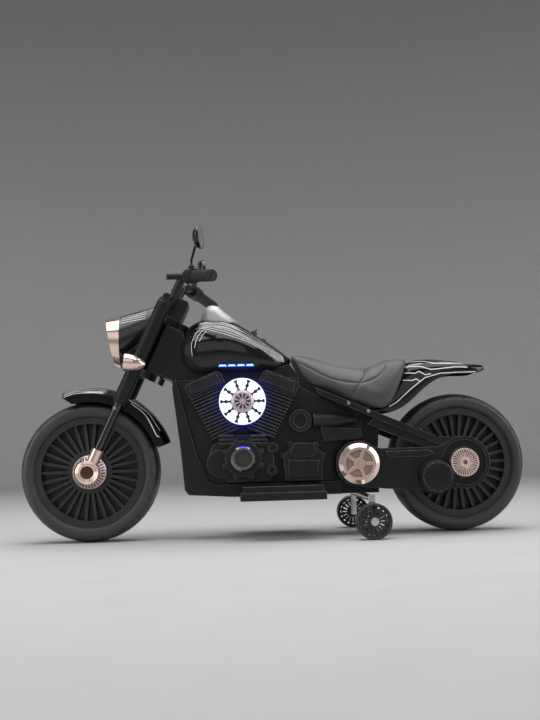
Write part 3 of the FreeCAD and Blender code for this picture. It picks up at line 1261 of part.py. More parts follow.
signal_centre = head_point(size("signal_up"), fork_back - size("signal_forward"), -size("signal_out"))
signal_turn = FreeCAD.Rotation(along_y, size("signal_tilt"))
signal_body = make_signal()
signal_body.Placement = FreeCAD.Placement(signal_centre, signal_turn)
signal_tube = cylinder("signal_tube", "fork_upper_dia", "fork_top - fork_joint",
                       head_point(size("fork_joint"), fork_back, fork_left), head_up, margin="run_gap")
pair("turn_signals", cut("turn_signal_left", signal_body, signal_tube))
signal_axis = signal_turn.multVec(along_x)
lens_disc = cylinder("signal_lens", "signal_lens_dia", "signal_lens_depth", signal_centre, signal_axis,
                     margin="0 - seat_gap")
pair("turn_signal_lenses", lens_disc)


# Handlebar, its clamp block, grips, control pods and mirrors
bar_radius_up = size("bar_dia") / 2
bar_middle = head_point(size("bar_up"), -size("bar_forward"))
bar_foot = bar_middle + left * size("bar_foot_half")
bar_top = head_point(size("bar_up") + size("bar_rise"), -size("bar_forward")) \
    + left * (size("bar_foot_half") + size("bar_spread"))
bar_end = bar_top + Vector(size("bar_sweep"), 0, -size("bar_drop"))
bar_end.y = -size("bar_reach")


def other_side(point):
    return Vector(point.x, -point.y, point.z)


bar_route = [bar_end, bar_top, bar_foot, other_side(bar_foot), other_side(bar_top), other_side(bar_end)]
keep("handlebar", solid("bar_tube", bent_tube(bar_route, size("bar_bend"), bar_radius_up)))
block_height = size("block_top") - stem_top - size("rest_gap")
block = Part.makeBox(size("block_front"), 2 * size("block_half"), block_height)
block_corner = head_point(stem_top + size("rest_gap"), -size("block_front"), -size("block_half"))
block.Placement = FreeCAD.Placement(block_corner, FreeCAD.Rotation(head_back, along_y, head_up, "ZXY"))
bar_clear = Part.makeCylinder(bar_radius_up + size("run_gap"), 2 * size("block_half") + 2 * overrun,
                              bar_middle + left * (size("block_half") + overrun), along_y)
tube_clear = [Part.makeCylinder(size("fork_upper_dia") / 2 + size("rest_gap"), size("fork_top"),
                                head_point(size("fork_joint"), fork_back, across), head_up)
              for across in (fork_left, -fork_left)]
parallel_share = 0.9
block_edges = [edge for edge in block.Edges
               if abs(edge.tangentAt(edge.FirstParameter).dot(along_y)) > parallel_share]
block = block.makeFillet(size("clamp_thickness") / 2, block_edges)
keep("bar_clamp", solid("bar_clamp_block", block.cut(bar_clear).cut(tube_clear[0]).cut(tube_clear[1])))

bar_out = (bar_end - bar_top).normalize()
grip_start = bar_end - bar_out * size("grip_length")
grip_hole = Part.makeCylinder(bar_radius_up + size("run_gap"), size("grip_length") + overrun,
                              grip_start - bar_out * overrun, bar_out)
grip = Part.makeCylinder(size("grip_dia") / 2, size("grip_length") + size("grip_flange"), grip_start, bar_out)
flange = Part.makeCylinder(size("grip_flange_dia") / 2, size("grip_flange"), grip_start, bar_out)
pair("grips", solid("grip_left", grip.fuse(flange).cut(grip_hole)))

pod_end = grip_start - bar_out * size("rest_gap")
pod_start = pod_end - bar_out * size("pod_length")
pod_middle = (pod_start + pod_end) / 2
pod = Part.makeCylinder(size("pod_dia") / 2, size("pod_length"), pod_start, bar_out)
stub_start = pod_start + bar_out * (size("pod_stub_dia") / 2)
pod = pod.fuse(Part.makeCylinder(size("pod_stub_dia") / 2, size("pod_stub_length"), stub_start, along_x * -1))
pod = pod.fuse(Part.makeCylinder(size("pod_boss_dia") / 2, size("pod_boss_height"), pod_middle, along_z))
pod_hole = Part.makeCylinder(bar_radius_up + size("run_gap"), size("pod_length") + 2 * size("pod_stub_length"),
                             pod_start - bar_out * size("pod_stub_length"), bar_out)
mirror_foot = pod_middle + along_z * size("pod_boss_height")
pin_hole = Part.makeCylinder(size("mirror_pin_dia") / 2 + size("run_gap"), size("mirror_pin_depth") + overrun,
                             mirror_foot - along_z * size("mirror_pin_depth"), along_z)
pair("control_pods", solid("control_pod_left", pod.cut(pod_hole).cut(pin_hole)))

mirror_centre = mirror_foot + Vector(size("mirror_back"), -size("mirror_out"), size("mirror_up"))
mirror_lean = FreeCAD.Rotation(along_x, -size("mirror_lean"))
mirror_turn = FreeCAD.Rotation(along_z, -size("mirror_yaw")).multiply(mirror_lean)
mirror_axis = mirror_turn.multVec(along_x)
mirror_side = mirror_turn.multVec(along_y) * (size("mirror_width") / 2)
mirror_high = mirror_turn.multVec(along_z) * (size("mirror_height") / 2)


def mirror_wire(back, share):
    return ellipse_wire(mirror_centre + mirror_axis * back, mirror_side * share, mirror_high * share)


depth = size("mirror_depth")
cup_shares = [(-1.0, 0.5), (-0.8, 0.8), (-0.4, 0.97), (0.0, 1.0)]
cup = Part.makeLoft([mirror_wire(depth * back, share) for back, share in cup_shares], True)
glass_share = 1 - 2 * size("mirror_rim") / size("mirror_height")
pane_share = glass_share - size("seat_gap") / size("mirror_height")
sunk = -size("mirror_glass")
recess = Part.makeLoft([mirror_wire(sunk, glass_share), mirror_wire(overrun, glass_share)], True)
glass = Part.makeLoft([mirror_wire(sunk, pane_share), mirror_wire(0, pane_share)], True)
stem_route = [mirror_foot - along_z * (size("mirror_pin_depth") - size("rest_gap")),
              mirror_foot + along_z * size("mirror_neck"), mirror_centre - mirror_axis * (depth / 2)]
mirror_stem = bent_tube(stem_route, size("mirror_neck") / 2, size("mirror_stem_dia") / 2)
pin = Part.makeCylinder(size("mirror_pin_dia") / 2, size("mirror_pin_depth") - size("rest_gap"),
                        mirror_foot - along_z * (size("mirror_pin_depth") - size("rest_gap")), along_z)
mirror_left = keep("mirror_left", solid("mirror_left_cup", cup.fuse([mirror_stem, pin]).cut(recess)))
glass_left = keep("mirror_glass_left", solid("mirror_left_glass", glass))
keep("mirror_right", mirrored("mirror_right_cup", mirror_left))
keep("mirror_glass_right", mirrored("mirror_right_glass", glass_left))


# Screw heads on the struts
screws = []
for share in strut_screw_shares:
    place = Vector(side_x(share[0]), -size("arm_outer"), side_z(share[1]))
    head = Part.makeCylinder(size("screw_dia") / 2, size("screw_head"), place, left)
    screws.extend([head, head.mirror(Vector(0, 0, 0), along_y)])
keep("strut_screws", solid("screw_heads", Part.makeCompound(screws)))

doc.recompute()

# Every object has to be sound before anything is written
faults = []
for item in doc.Objects:
    if "Invalid" in item.State or "Error" in item.State:
        faults.append("%s is %s" % (item.Name, item.State))
for item in nodes:
    if item.Shape.isNull() or not item.Shape.isValid() or not item.Shape.Solids:
        faults.append("%s has no sound solid" % item.Label)
if faults:
    raise SystemExit("\n".join(faults))
for item in nodes:
    item.Shape.exportStep("parts/%s.step" % item.Label)
    print(item.Label, len(item.Shape.Solids), round(item.Shape.Volume / 1000, 1))
print(len(nodes), "sub-parts")
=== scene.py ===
import math

import bmesh
import bpy
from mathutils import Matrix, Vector
from mathutils.bvhtree import BVHTree
from mathutils.kdtree import KDTree


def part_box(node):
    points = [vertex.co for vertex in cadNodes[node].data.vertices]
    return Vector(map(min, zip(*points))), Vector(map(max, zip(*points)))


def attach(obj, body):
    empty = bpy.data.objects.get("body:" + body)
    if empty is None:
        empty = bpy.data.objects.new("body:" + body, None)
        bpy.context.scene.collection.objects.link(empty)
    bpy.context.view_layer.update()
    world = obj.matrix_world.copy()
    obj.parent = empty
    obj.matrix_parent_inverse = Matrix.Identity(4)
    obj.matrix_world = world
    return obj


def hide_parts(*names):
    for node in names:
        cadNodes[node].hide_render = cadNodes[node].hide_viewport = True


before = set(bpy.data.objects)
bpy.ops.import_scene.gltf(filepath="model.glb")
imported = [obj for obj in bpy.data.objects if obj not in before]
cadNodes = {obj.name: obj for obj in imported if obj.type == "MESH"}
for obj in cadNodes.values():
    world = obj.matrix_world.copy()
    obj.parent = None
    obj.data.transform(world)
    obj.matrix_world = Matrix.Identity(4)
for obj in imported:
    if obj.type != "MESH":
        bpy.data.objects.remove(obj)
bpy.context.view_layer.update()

scene = bpy.context.scene
scene.view_settings.view_transform = "Standard"
print("frame loaded:", len(cadNodes), "nodes")


# places taken from the frame
def middleOf(node):
    low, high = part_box(node)
    return (low + high) / 2


frontAxle = middleOf("front_tyre")
rearAxle = middleOf("rear_tyre")
discMiddle = middleOf("light_discs")
coverMiddle = middleOf("round_covers")
crankMiddle = middleOf("crankcase_covers")
fullTurn = 2 * math.pi


# camera at the photo's place, lens and sensor for a 540 x 720 frame that this script does not set
cameraSetup = {"place": (-0.1297, -2.2986, 0.2102), "turnDeg": (95.157, 1.55, -2.97), "lens": 48.0,
               "sensor": 36.0}


def makeCamera():
    data = bpy.data.cameras.new("photoCamera")
    data.lens = cameraSetup["lens"]
    data.sensor_width = cameraSetup["sensor"]
    camera = addObject("photoCamera", data)
    camera.location = cameraSetup["place"]
    camera.rotation_euler = [math.radians(angle) for angle in cameraSetup["turnDeg"]]
    scene.camera = camera


# small helpers for objects and meshes
def addObject(name, data):
    piece = bpy.data.objects.new(name, data)
    scene.collection.objects.link(piece)
    return piece


def cleanMesh(mesh, weld=0.0):
    work = bmesh.new()
    work.from_mesh(mesh)
    if weld:
        bmesh.ops.remove_doubles(work, verts=work.verts, dist=weld)
    bmesh.ops.recalc_face_normals(work, faces=work.faces)
    work.to_mesh(mesh)
    work.free()


def setSmooth(mesh, smooth=True):
    for polygon in mesh.polygons:
        polygon.use_smooth = smooth


def meshFrom(name, verts, faces, smooth=True):
    mesh = bpy.data.meshes.new(name)
    mesh.from_pydata([tuple(v) for v in verts], [], faces)
    cleanMesh(mesh)
    setSmooth(mesh, smooth)
    return mesh


def plainMesh(piece):
    graph = bpy.context.evaluated_depsgraph_get()
    return bpy.data.meshes.new_from_object(piece.evaluated_get(graph), depsgraph=graph)


def surfaceTree(*names):
    verts, faces = [], []
    for name in names:
        mesh = cadNodes[name].data if name in cadNodes else bpy.data.objects[name].data
        start = len(verts)
        verts.extend(v.co.copy() for v in mesh.vertices)
        faces.extend([start + i for i in polygon.vertices] for polygon in mesh.polygons)
    return BVHTree.FromPolygons(verts, faces)


def finishPiece(piece, body, material):
    piece.data.materials.clear()
    piece.data.materials.append(material)
    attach(piece, body)
    return piece


# shader nodes and the groups that several finishes share
def newGroup(name, inputs, outputs):
    tree = bpy.data.node_groups.new(name, "ShaderNodeTree")
    for label, kind, value in inputs:
        socket = tree.interface.new_socket(label, in_out="INPUT", socket_type="NodeSocket" + kind)
        socket.default_value = value
    for label, kind in outputs:
        tree.interface.new_socket(label, in_out="OUTPUT", socket_type="NodeSocket" + kind)
    return tree, tree.nodes.new("NodeGroupInput"), tree.nodes.new("NodeGroupOutput")


def feed(tree, value, socket):
    # a link from another node's output, or else a constant
    if hasattr(value, "is_output"):
        tree.links.new(value, socket)
    else:
        socket.default_value = value


def join(tree, node, **values):
    for label, value in values.items():
        feed(tree, value, node.inputs[label.replace("_", " ")])


def addNode(tree, kind, **settings):
    node = tree.nodes.new(kind)
    for key, value in settings.items():
        if key in node.inputs:
            feed(tree, value, node.inputs[key])
        else:
            setattr(node, key, value)
    return node


def rangeNode(tree, value, low, high, toLow, toHigh):
    node = addNode(tree, "ShaderNodeMapRange")
    join(tree, node, Value=value, From_Min=low, From_Max=high, To_Min=toLow, To_Max=toHigh)
    return node.outputs["Result"]


def rise(tree, value, low, high):
    return rangeNode(tree, value, low, high, 0.0, 1.0)


def fall(tree, value, low, high):
    return rangeNode(tree, value, low, high, 1.0, 0.0)


def mixColor(tree, factor, first, second, blend="MIX"):
    node = addNode(tree, "ShaderNodeMix", data_type="RGBA", blend_type=blend)
    for slot, value in ((0, factor), (6, first), (7, second)):
        feed(tree, value, node.inputs[slot])
    return node.outputs[2]


def mathNode(tree, operation, first, second=0.0):
    node = addNode(tree, "ShaderNodeMath", operation=operation)
    for slot, value in enumerate((first, second)):
        feed(tree, value, node.inputs[slot])
    return node.outputs[0]


def times(tree, first, *others):
    for other in others:
        first = mathNode(tree, "MULTIPLY", first, other)
    return first


def waveOf(tree, value, pitch):
    return mathNode(tree, "SINE", times(tree, value, fullTurn / pitch))


def bandMask(tree, reach, band):
    return times(tree, rise(tree, reach, *band[:2]), fall(tree, reach, *band[2:]))


def vectorMath(tree, operation, *vectors):
    node = addNode(tree, "ShaderNodeVectorMath", operation=operation)
    for slot, value in enumerate(vectors):
        feed(tree, value, node.inputs[slot])
    return node.outputs


def objectPlace(tree):
    return addNode(tree, "ShaderNodeTexCoord").outputs["Object"]


def splitXYZ(tree, vector):
    return addNode(tree, "ShaderNodeSeparateXYZ", Vector=vector).outputs


def noise(tree, place, **settings):
    return addNode(tree, "ShaderNodeTexNoise", Vector=place, **settings).outputs


surfaceOutputs = [("Color", "Color"), ("Roughness", "Float"), ("Height", "Float")]


def makeMoldedGrain():
    tree, start, end = newGroup("moldedGrain", [
        ("Color", "Color", (0.05, 0.05, 0.05, 1)), ("Tint", "Color", (0.07, 0.07, 0.07, 1)),
        ("Scale", "Float", 900.0), ("Rough Low", "Float", 0.35), ("Rough High", "Float", 0.55)],
        surfaceOutputs)
    place, given = objectPlace(tree), start.outputs
    fine = noise(tree, place, Scale=given["Scale"], Detail=3.0)
    broad = noise(tree, place, Scale=9.0, Detail=5.0, Roughness=0.6)["Fac"]
    blotch = rise(tree, broad, 0.35, 0.68)
    join(tree, end, Color=mixColor(tree, blotch, given["Color"], given["Tint"]), Height=fine["Fac"],
         Roughness=rangeNode(tree, broad, 0.35, 0.68, given["Rough Low"], given["Rough High"]))
    return tree


# dust on upward faces; on the tyres its larger amount is also painted top light
def makeDustVeil():
    tree, start, end = newGroup("dustVeil", [("Amount", "Float", 0.15), ("Scale", "Float", 60.0)], [("Mask", "Float")])
    facing = splitXYZ(tree, addNode(tree, "ShaderNodeNewGeometry").outputs["Normal"])
    cloud = noise(tree, objectPlace(tree), Scale=start.outputs["Scale"], Detail=6.0, Roughness=0.65)
    upward = rise(tree, facing["Z"], 0.2, 1.0)
    patch = rise(tree, cloud["Fac"], 0.4, 0.75)
    join(tree, end, Mask=times(tree, upward, patch, start.outputs["Amount"]))
    return tree


def makeBrushedFlow():
    tree, start, end = newGroup("brushedFlow", [
        ("Color", "Color", (0.6, 0.6, 0.6, 1)), ("Tint", "Color", (0.7, 0.7, 0.7, 1)),
        ("Stretch", "Vector", (40.0, 900.0, 900.0)), ("Rough Low", "Float", 0.1), ("Rough High", "Float", 0.3)],
        surfaceOutputs)
    place, given = objectPlace(tree), start.outputs
    hair = noise(tree, vectorMath(tree, "MULTIPLY", place, given["Stretch"])[0], Scale=1.0, Detail=2.0)["Fac"]
    cloud = noise(tree, place, Scale=25.0, Detail=4.0)["Fac"]
    join(tree, end, Color=mixColor(tree, hair, given["Color"], given["Tint"]), Height=hair,
         Roughness=rangeNode(tree, cloud, 0.3, 0.7, given["Rough Low"], given["Rough High"]))
    return tree


def makeEdgeWear():
    # rounded outer edges with a painted highlight, rubbed a little in patches, and recesses darkened by painted shade
    # where they are sheltered
    tree, start, end = newGroup("edgeWear", [("Radius", "Float", 0.0008), ("Reach", "Float", 0.006)],
                                [("Edge", "Float"), ("Recess", "Float"), ("Normal", "Vector")])
    rounded = addNode(tree, "ShaderNodeBevel", samples=4, Radius=start.outputs["Radius"]).outputs["Normal"]
    plain = addNode(tree, "ShaderNodeNewGeometry").outputs["Normal"]
    shelter = addNode(tree, "ShaderNodeAmbientOcclusion", samples=4, Distance=start.outputs["Reach"]).outputs["AO"]
    patch = noise(tree, objectPlace(tree), Scale=70.0, Detail=3.0)["Fac"]
    bend = fall(tree, vectorMath(tree, "DOT_PRODUCT", rounded, plain)["Value"], 0.86, 0.995)
    clear = rise(tree, shelter, 0.45, 0.95)
    rubbed = rangeNode(tree, patch, 0.35, 0.65, 0.35, 1.0)
    join(tree, end, Edge=times(tree, bend, clear, rubbed), Normal=rounded,
         Recess=fall(tree, shelter, 0.15, 0.85))
    return tree


def makeRadialRepeat():
    # distance from the nearest of Count equal spokes about a wheel's axle
    tree, start, end = newGroup("radialRepeat", [("Centre", "Vector", (0, 0, 0)), ("Count", "Float", 10.0),
                                                 ("Twist", "Float", 0.0)],
                                [("Share", "Float"), ("Across", "Float"), ("Reach", "Float"), ("Depth", "Float")])
    given = start.outputs
    part = splitXYZ(tree, vectorMath(tree, "SUBTRACT", objectPlace(tree), given["Centre"])[0])
    flat = addNode(tree, "ShaderNodeCombineXYZ", X=part["X"], Y=part["Z"])
    radius = vectorMath(tree, "LENGTH", flat.outputs[0])["Value"]
    angle = mathNode(tree, "ADD", mathNode(tree, "ARCTAN2", part["Z"], part["X"]), times(tree, radius, given["Twist"]))
    turn = times(tree, mathNode(tree, "DIVIDE", angle, fullTurn), given["Count"])
    share = mathNode(tree, "ABSOLUTE", mathNode(tree, "SUBTRACT", turn, mathNode(tree, "ROUND", turn)))
    pitch = mathNode(tree, "DIVIDE", times(tree, radius, fullTurn), given["Count"])
    join(tree, end, Share=share, Across=times(tree, share, pitch), Reach=radius,
         Depth=mathNode(tree, "ABSOLUTE", part["Y"]))
    return tree


moldedGrain = makeMoldedGrain()
dustVeil = makeDustVeil()
brushedFlow = makeBrushedFlow()
edgeWear = makeEdgeWear()
radialRepeat = makeRadialRepeat()
print("shader groups built")


# finishes
dustShade = 0.30
grainDepth = 0.0003
brushDepth = 0.0001


def newMaterial(name, **sockets):
    material = bpy.data.materials.new(name)
    material.use_nodes = True
    shader = material.node_tree.nodes["Principled BSDF"]
    join(material.node_tree, shader, **sockets)
    return material, material.node_tree, shader


def tone(value):
    # a grey level or an RGB colour
    return (value, value, value, 1.0) if isinstance(value, float) else (*value, 1.0)


def groupNode(tree, group, **values):
    node = tree.nodes.new("ShaderNodeGroup")
    node.node_tree = group
    join(tree, node, **values)
    return node.outputs


def grainNode(tree, look):
    low, high = look.get("rough", (0.35, 0.55))
    return groupNode(tree, moldedGrain, Color=tone(look["dark"]), Tint=tone(look["light"]), Scale=look["grain"],
                     Rough_Low=low, Rough_High=high)


def flowNode(tree, look):
    low, high = look.get("rough", (0.1, 0.3))
    return groupNode(tree, brushedFlow, Color=tone(look["dark"]), Tint=tone(look["light"]), Stretch=look["stretch"],
                     Rough_Low=low, Rough_High=high)


def wearNode(tree, look, edge=0.0006, reach=0.005):
    return groupNode(tree, edgeWear, Radius=look.get("edge", edge), Reach=look.get("reach", reach))


def bumpFrom(tree, shader, height, strength, distance, normal=None):
    bump = addNode(tree, "ShaderNodeBump", Strength=strength, Distance=distance, Height=height)
    if normal:
        join(tree, bump, Normal=normal)
    join(tree, shader, Normal=bump.outputs["Normal"])


# painted shade in sheltered recesses, lighter than the body on rimPlastic as painted light, then a painted highlight on
# outer edges that is partly rubbed wear
def wornColor(tree, wear, color, look):
    color = mixColor(tree, wear["Recess"], color, tone(look.get("gap", 0.004)))
    rub = times(tree, wear["Edge"], look.get("rub", 0.35))
    return mixColor(tree, rub, color, tone(look.get("rubbed", 0.14)))


def moldedMaterial(name, look):
    material, tree, shader = newMaterial(name, Specular_IOR_Level=look.get("specular", 0.5),
                                         Coat_Weight=look.get("coat", 0.0), Coat_Roughness=look.get("coatRough", 0.06))
    grain = grainNode(tree, look)
    dust = groupNode(tree, dustVeil, Amount=look.get("dust", 0.1))["Mask"]
    wear = wearNode(tree, look, 0.0008, 0.006)
    color = mixColor(tree, dust, grain["Color"], tone(dustShade))
    join(tree, shader, Base_Color=wornColor(tree, wear, color, look),
         Roughness=mathNode(tree, "ADD", grain["Roughness"], dust))
    bumpFrom(tree, shader, grain["Height"], look["bump"], grainDepth, wear["Normal"])
    return material


def platedMaterial(name, look):
    material, tree, shader = newMaterial(name, Metallic=look.get("metal", 1.0))
    flow, wear = flowNode(tree, look), wearNode(tree, look)
    join(tree, shader, Base_Color=wornColor(tree, wear, flow["Color"], look), Roughness=flow["Roughness"])
    bumpFrom(tree, shader, flow["Height"], look["bump"], brushDepth, wear["Normal"])
    return material


# the edge tones are painted highlights that are partly rubbed wear, the recess tones painted shade; on rimPlastic the
# recess tone is lighter than the body, painted light in its pockets
moldedLooks = {
    "bodyPlastic": {"dark": 0.011, "light": 0.017, "grain": 1400.0, "rough": (0.30, 0.44), "bump": 0.10, "dust": 0.02,
                    "specular": 0.2, "edge": 0.0030, "rub": 0.9, "rubbed": 0.22},
    "engineCasting": {"dark": 0.013, "light": 0.021, "grain": 1100.0, "rough": (0.28, 0.40), "bump": 0.14, "dust": 0.03,
                      "specular": 0.22, "edge": 0.0024, "rub": 0.9, "rubbed": 0.24, "reach": 0.009, "gap": 0.003},
    "glossPaint": {"dark": 0.004, "light": 0.006, "grain": 2600.0, "rough": (0.14, 0.2), "bump": 0.01, "dust": 0.01,
                   "specular": 0.1, "coat": 0.75, "coatRough": 0.08, "edge": 0.0016, "rub": 0.35},
    "rimPlastic": {"dark": 0.014, "light": 0.021, "grain": 1300.0, "rough": (0.36, 0.5), "bump": 0.1, "dust": 0.04,
                   "edge": 0.0020, "rub": 0.5, "rubbed": 0.08, "reach": 0.008, "gap": 0.026},
    "coverPlastic": {"dark": 0.011, "light": 0.018, "grain": 1400.0, "rough": (0.28, 0.40), "bump": 0.10, "dust": 0.015,
                     "specular": 0.2, "edge": 0.0016, "rub": 1.0, "rubbed": 0.34, "gap": 0.003},
    "shellPaint": {"dark": 0.008, "light": 0.012, "grain": 2400.0, "rough": (0.24, 0.32), "bump": 0.02, "dust": 0.02,
                   "coat": 0.4, "coatRough": 0.18, "edge": 0.0016, "rub": 0.4},
    "powderTube": {"dark": 0.012, "light": 0.018, "grain": 2000.0, "rough": (0.24, 0.36), "bump": 0.12, "dust": 0.02,
                   "specular": 0.3},
    "redPlastic": {"dark": (0.36, 0.012, 0.012), "light": (0.48, 0.022, 0.018), "grain": 2000.0, "rough": (0.12, 0.2),
                   "bump": 0.02, "dust": 0.02, "rub": 0.1, "gap": (0.1, 0.004, 0.004)},
    "innerPlastic": {"dark": 0.06, "light": 0.09, "grain": 1200.0, "rough": (0.4, 0.6), "bump": 0.1},
    "paleLine": {"dark": 0.80, "light": 0.90, "grain": 2400.0, "rough": (0.25, 0.35), "bump": 0.02, "dust": 0.0,
                 "rub": 0.0, "gap": 0.6},
    "stitchThread": {"dark": 0.03, "light": 0.05, "grain": 3000.0, "rough": (0.6, 0.8), "bump": 0.3},
    "shadowGap": {"dark": 0.003, "light": 0.006, "grain": 1500.0, "rough": (0.6, 0.8), "bump": 0.05, "dust": 0.0},
}
# the edge tones are painted highlights, near white on roseGold, partly rubbed wear; the recess tones are painted shade
platedLooks = {
    "roseGold": {"dark": (0.82, 0.58, 0.50), "light": (0.94, 0.72, 0.64), "stretch": (30.0, 30.0, 30.0),
                 "rough": (0.07, 0.13), "bump": 0.01, "metal": 0.85, "gap": (0.10, 0.045, 0.03), "rub": 0.6,
                 "rubbed": (1.0, 0.88, 0.82)},
    "darkRose": {"dark": (0.10, 0.05, 0.042), "light": (0.15, 0.08, 0.066), "stretch": (90.0, 90.0, 90.0),
                 "rough": (0.2, 0.3), "bump": 0.02, "metal": 0.8, "gap": (0.02, 0.01, 0.008)},
    "polishedTube": {"dark": 0.05, "light": 0.08, "stretch": (500.0, 500.0, 30.0), "rough": (0.10, 0.17), "bump": 0.02,
                     "metal": 0.9, "gap": 0.006, "rubbed": 0.3},
    "satinSilver": {"dark": 0.46, "light": 0.54, "stretch": (900.0, 60.0, 900.0), "rough": (0.40, 0.48), "bump": 0.03,
                    "metal": 0.5, "gap": 0.2, "rub": 0.4, "rubbed": 0.85},
    "steelRod": {"dark": 0.45, "light": 0.6, "stretch": (600.0, 20.0, 600.0), "rough": (0.2, 0.35), "bump": 0.05,
                 "gap": 0.12, "rubbed": 0.8},
    "brightLeg": {"dark": 0.42, "light": 0.54, "stretch": (600.0, 600.0, 20.0), "rough": (0.08, 0.18), "bump": 0.02,
                  "gap": 0.12, "rubbed": 0.9},
    "mirrorFilm": {"dark": 0.82, "light": 0.9, "stretch": (20.0, 20.0, 20.0), "rough": (0.01, 0.03), "bump": 0.0,
                   "gap": 0.6, "rub": 0.0},
}
finish = {name: moldedMaterial(name, look) for name, look in moldedLooks.items()}
finish.update({name: platedMaterial(name, look) for name, look in platedLooks.items()})

seatLook = {"dark": 0.050, "light": 0.070, "grain": 700.0, "rough": (0.38, 0.52), "cell": 420.0, "soft": 0.6,
            "warp": 160.0, "warpBy": (0.004, 0.004, 0.004), "pore": 0.82, "bump": 0.2, "depth": 0.0006}


def makeLeather():
    material, tree, shader = newMaterial("seatLeather", Specular_IOR_Level=0.45, Sheen_Weight=0.15)
    place = objectPlace(tree)
    warp = noise(tree, place, Scale=seatLook["warp"], Detail=4.0)["Color"]
    warped = vectorMath(tree, "MULTIPLY_ADD", warp, seatLook["warpBy"], place)[0]
    cells = addNode(tree, "ShaderNodeTexVoronoi", Scale=seatLook["cell"], feature="SMOOTH_F1",
                    Smoothness=seatLook["soft"], Vector=warped).outputs["Distance"]
    grain = grainNode(tree, seatLook)
    pore = rangeNode(tree, cells, 0.0, 0.6, seatLook["pore"], 1.0)
    join(tree, shader, Base_Color=mixColor(tree, 1.0, grain["Color"], pore, "MULTIPLY"), Roughness=grain["Roughness"])
    bumpFrom(tree, shader, cells, seatLook["bump"], seatLook["depth"])
    return material


tyreLook = {"dark": 0.024, "light": 0.036, "grain": 900.0, "rough": (0.36, 0.5), "dust": 0.12, "dustScale": 40.0,
            "dustTone": (0.2, 0.19, 0.18), "ringPitch": 0.011, "sipes": 20.0, "sipeTwist": 7.0, "sipeShare": 0.032,
            "sipeBand": (0.148, 0.151), "sipeSide": (0.012, 0.016), "sipeTone": 0.004, "bump": 0.5, "depth": 0.0012}


# upward faces lightened by dust that is also painted top light
def makeTyreRubber(name, axle):
    material, tree, shader = newMaterial(name, Specular_IOR_Level=0.6)
    spot = groupNode(tree, radialRepeat, Centre=axle, Count=tyreLook["sipes"], Twist=tyreLook["sipeTwist"])
    grain, share = grainNode(tree, tyreLook), tyreLook["sipeShare"]
    dust = groupNode(tree, dustVeil, Amount=tyreLook["dust"], Scale=tyreLook["dustScale"])["Mask"]
    color = mixColor(tree, dust, grain["Color"], tone(tyreLook["dustTone"]))
    # sipes darkened with painted shade
    sipe = times(tree, fall(tree, spot["Share"], share, share * 1.8),
                 rise(tree, spot["Reach"], *tyreLook["sipeBand"]),
                 rise(tree, spot["Depth"], *tyreLook["sipeSide"]))
    join(tree, shader, Base_Color=mixColor(tree, sipe, color, tone(tyreLook["sipeTone"])), Roughness=grain["Roughness"])
    ridge = rangeNode(tree, waveOf(tree, spot["Reach"], tyreLook["ringPitch"]), 0.9, 1.0, 0.0, 0.5)
    height = mathNode(tree, "ADD", times(tree, grain["Height"], 0.3), ridge)
    height = mathNode(tree, "SUBTRACT", height, times(tree, sipe, 2.0))
    bumpFrom(tree, shader, height, tyreLook["bump"], tyreLook["depth"])
    return material


gripLook = {"dark": 0.018, "light": 0.026, "grain": 1700.0, "rough": (0.5, 0.66), "ribPitch": 0.0065, "groove": 0.006,
            "bump": 0.5, "depth": 0.0012}


# grooves between the ribs darkened with painted shade
def makeGripRubber():
    material, tree, shader = newMaterial("gripRubber", Specular_IOR_Level=0.4)
    along = splitXYZ(tree, objectPlace(tree))["Y"]
    groove = rise(tree, waveOf(tree, along, gripLook["ribPitch"]), 0.3, 0.8)
    grain = grainNode(tree, gripLook)
    join(tree, shader, Base_Color=mixColor(tree, groove, grain["Color"], tone(gripLook["groove"])),
         Roughness=grain["Roughness"])
    height = mathNode(tree, "SUBTRACT", times(tree, grain["Height"], 0.2), groove)
    bumpFrom(tree, shader, height, gripLook["bump"], gripLook["depth"])
    return material


def roundPlate(name, look, centre):
    # the start of a plated finish that is patterned round a centre
    material, tree, shader = newMaterial(name, Metallic=look.get("metal", 0.0))
    spot = groupNode(tree, radialRepeat, Centre=centre, Count=look.get("count", 10.0))
    return material, tree, shader, spot, flowNode(tree, look), wearNode(tree, look)


ribBase = {"dark": (0.90, 0.66, 0.57), "light": (1.0, 0.80, 0.72), "stretch": (40.0, 40.0, 40.0), "metal": 0.75,
           "rough": (0.22, 0.32), "edge": 0.0008, "reach": 0.004, "count": 30.0, "gap": (0.09, 0.04, 0.03),
           "bump": 0.5, "depth": 0.0006}
ribLooks = {
    "ribbedCap": {**ribBase, "centre": rearAxle, "hole": 0.0065, "rim": 0.029, "ribShare": 0.20},
    "ribbedHub": {**ribBase, "centre": frontAxle, "hole": 0.012, "rim": 0.036, "ribShare": 0.22},
}


def ribbedMaterial(name, look):
    # rose plated cover with fine radial ribs; the gaps between ribs, the bore and sheltered recesses are darkened with
    # painted shade
    material, tree, shader, spot, flow, wear = roundPlate(name, look, look["centre"])
    reach, rim, hole, share = spot["Reach"], look["rim"], look["hole"], look["ribShare"]
    gap = times(tree, rise(tree, spot["Share"], share, share * 1.4),
                rangeNode(tree, reach, hole, rim * 0.8, 0.2, 1.0), fall(tree, reach, rim, rim * 1.02))
    bore = fall(tree, reach, hole * 0.72, hole * 0.78)
    color = flow["Color"]
    for mask in (mathNode(tree, "MAXIMUM", times(tree, gap, 0.85), bore), wear["Recess"]):
        color = mixColor(tree, mask, color, tone(look["gap"]))
    join(tree, shader, Base_Color=color, Roughness=flow["Roughness"])
    bumpFrom(tree, shader, mathNode(tree, "SUBTRACT", 1.0, gap), look["bump"], look["depth"], wear["Normal"])
    return material


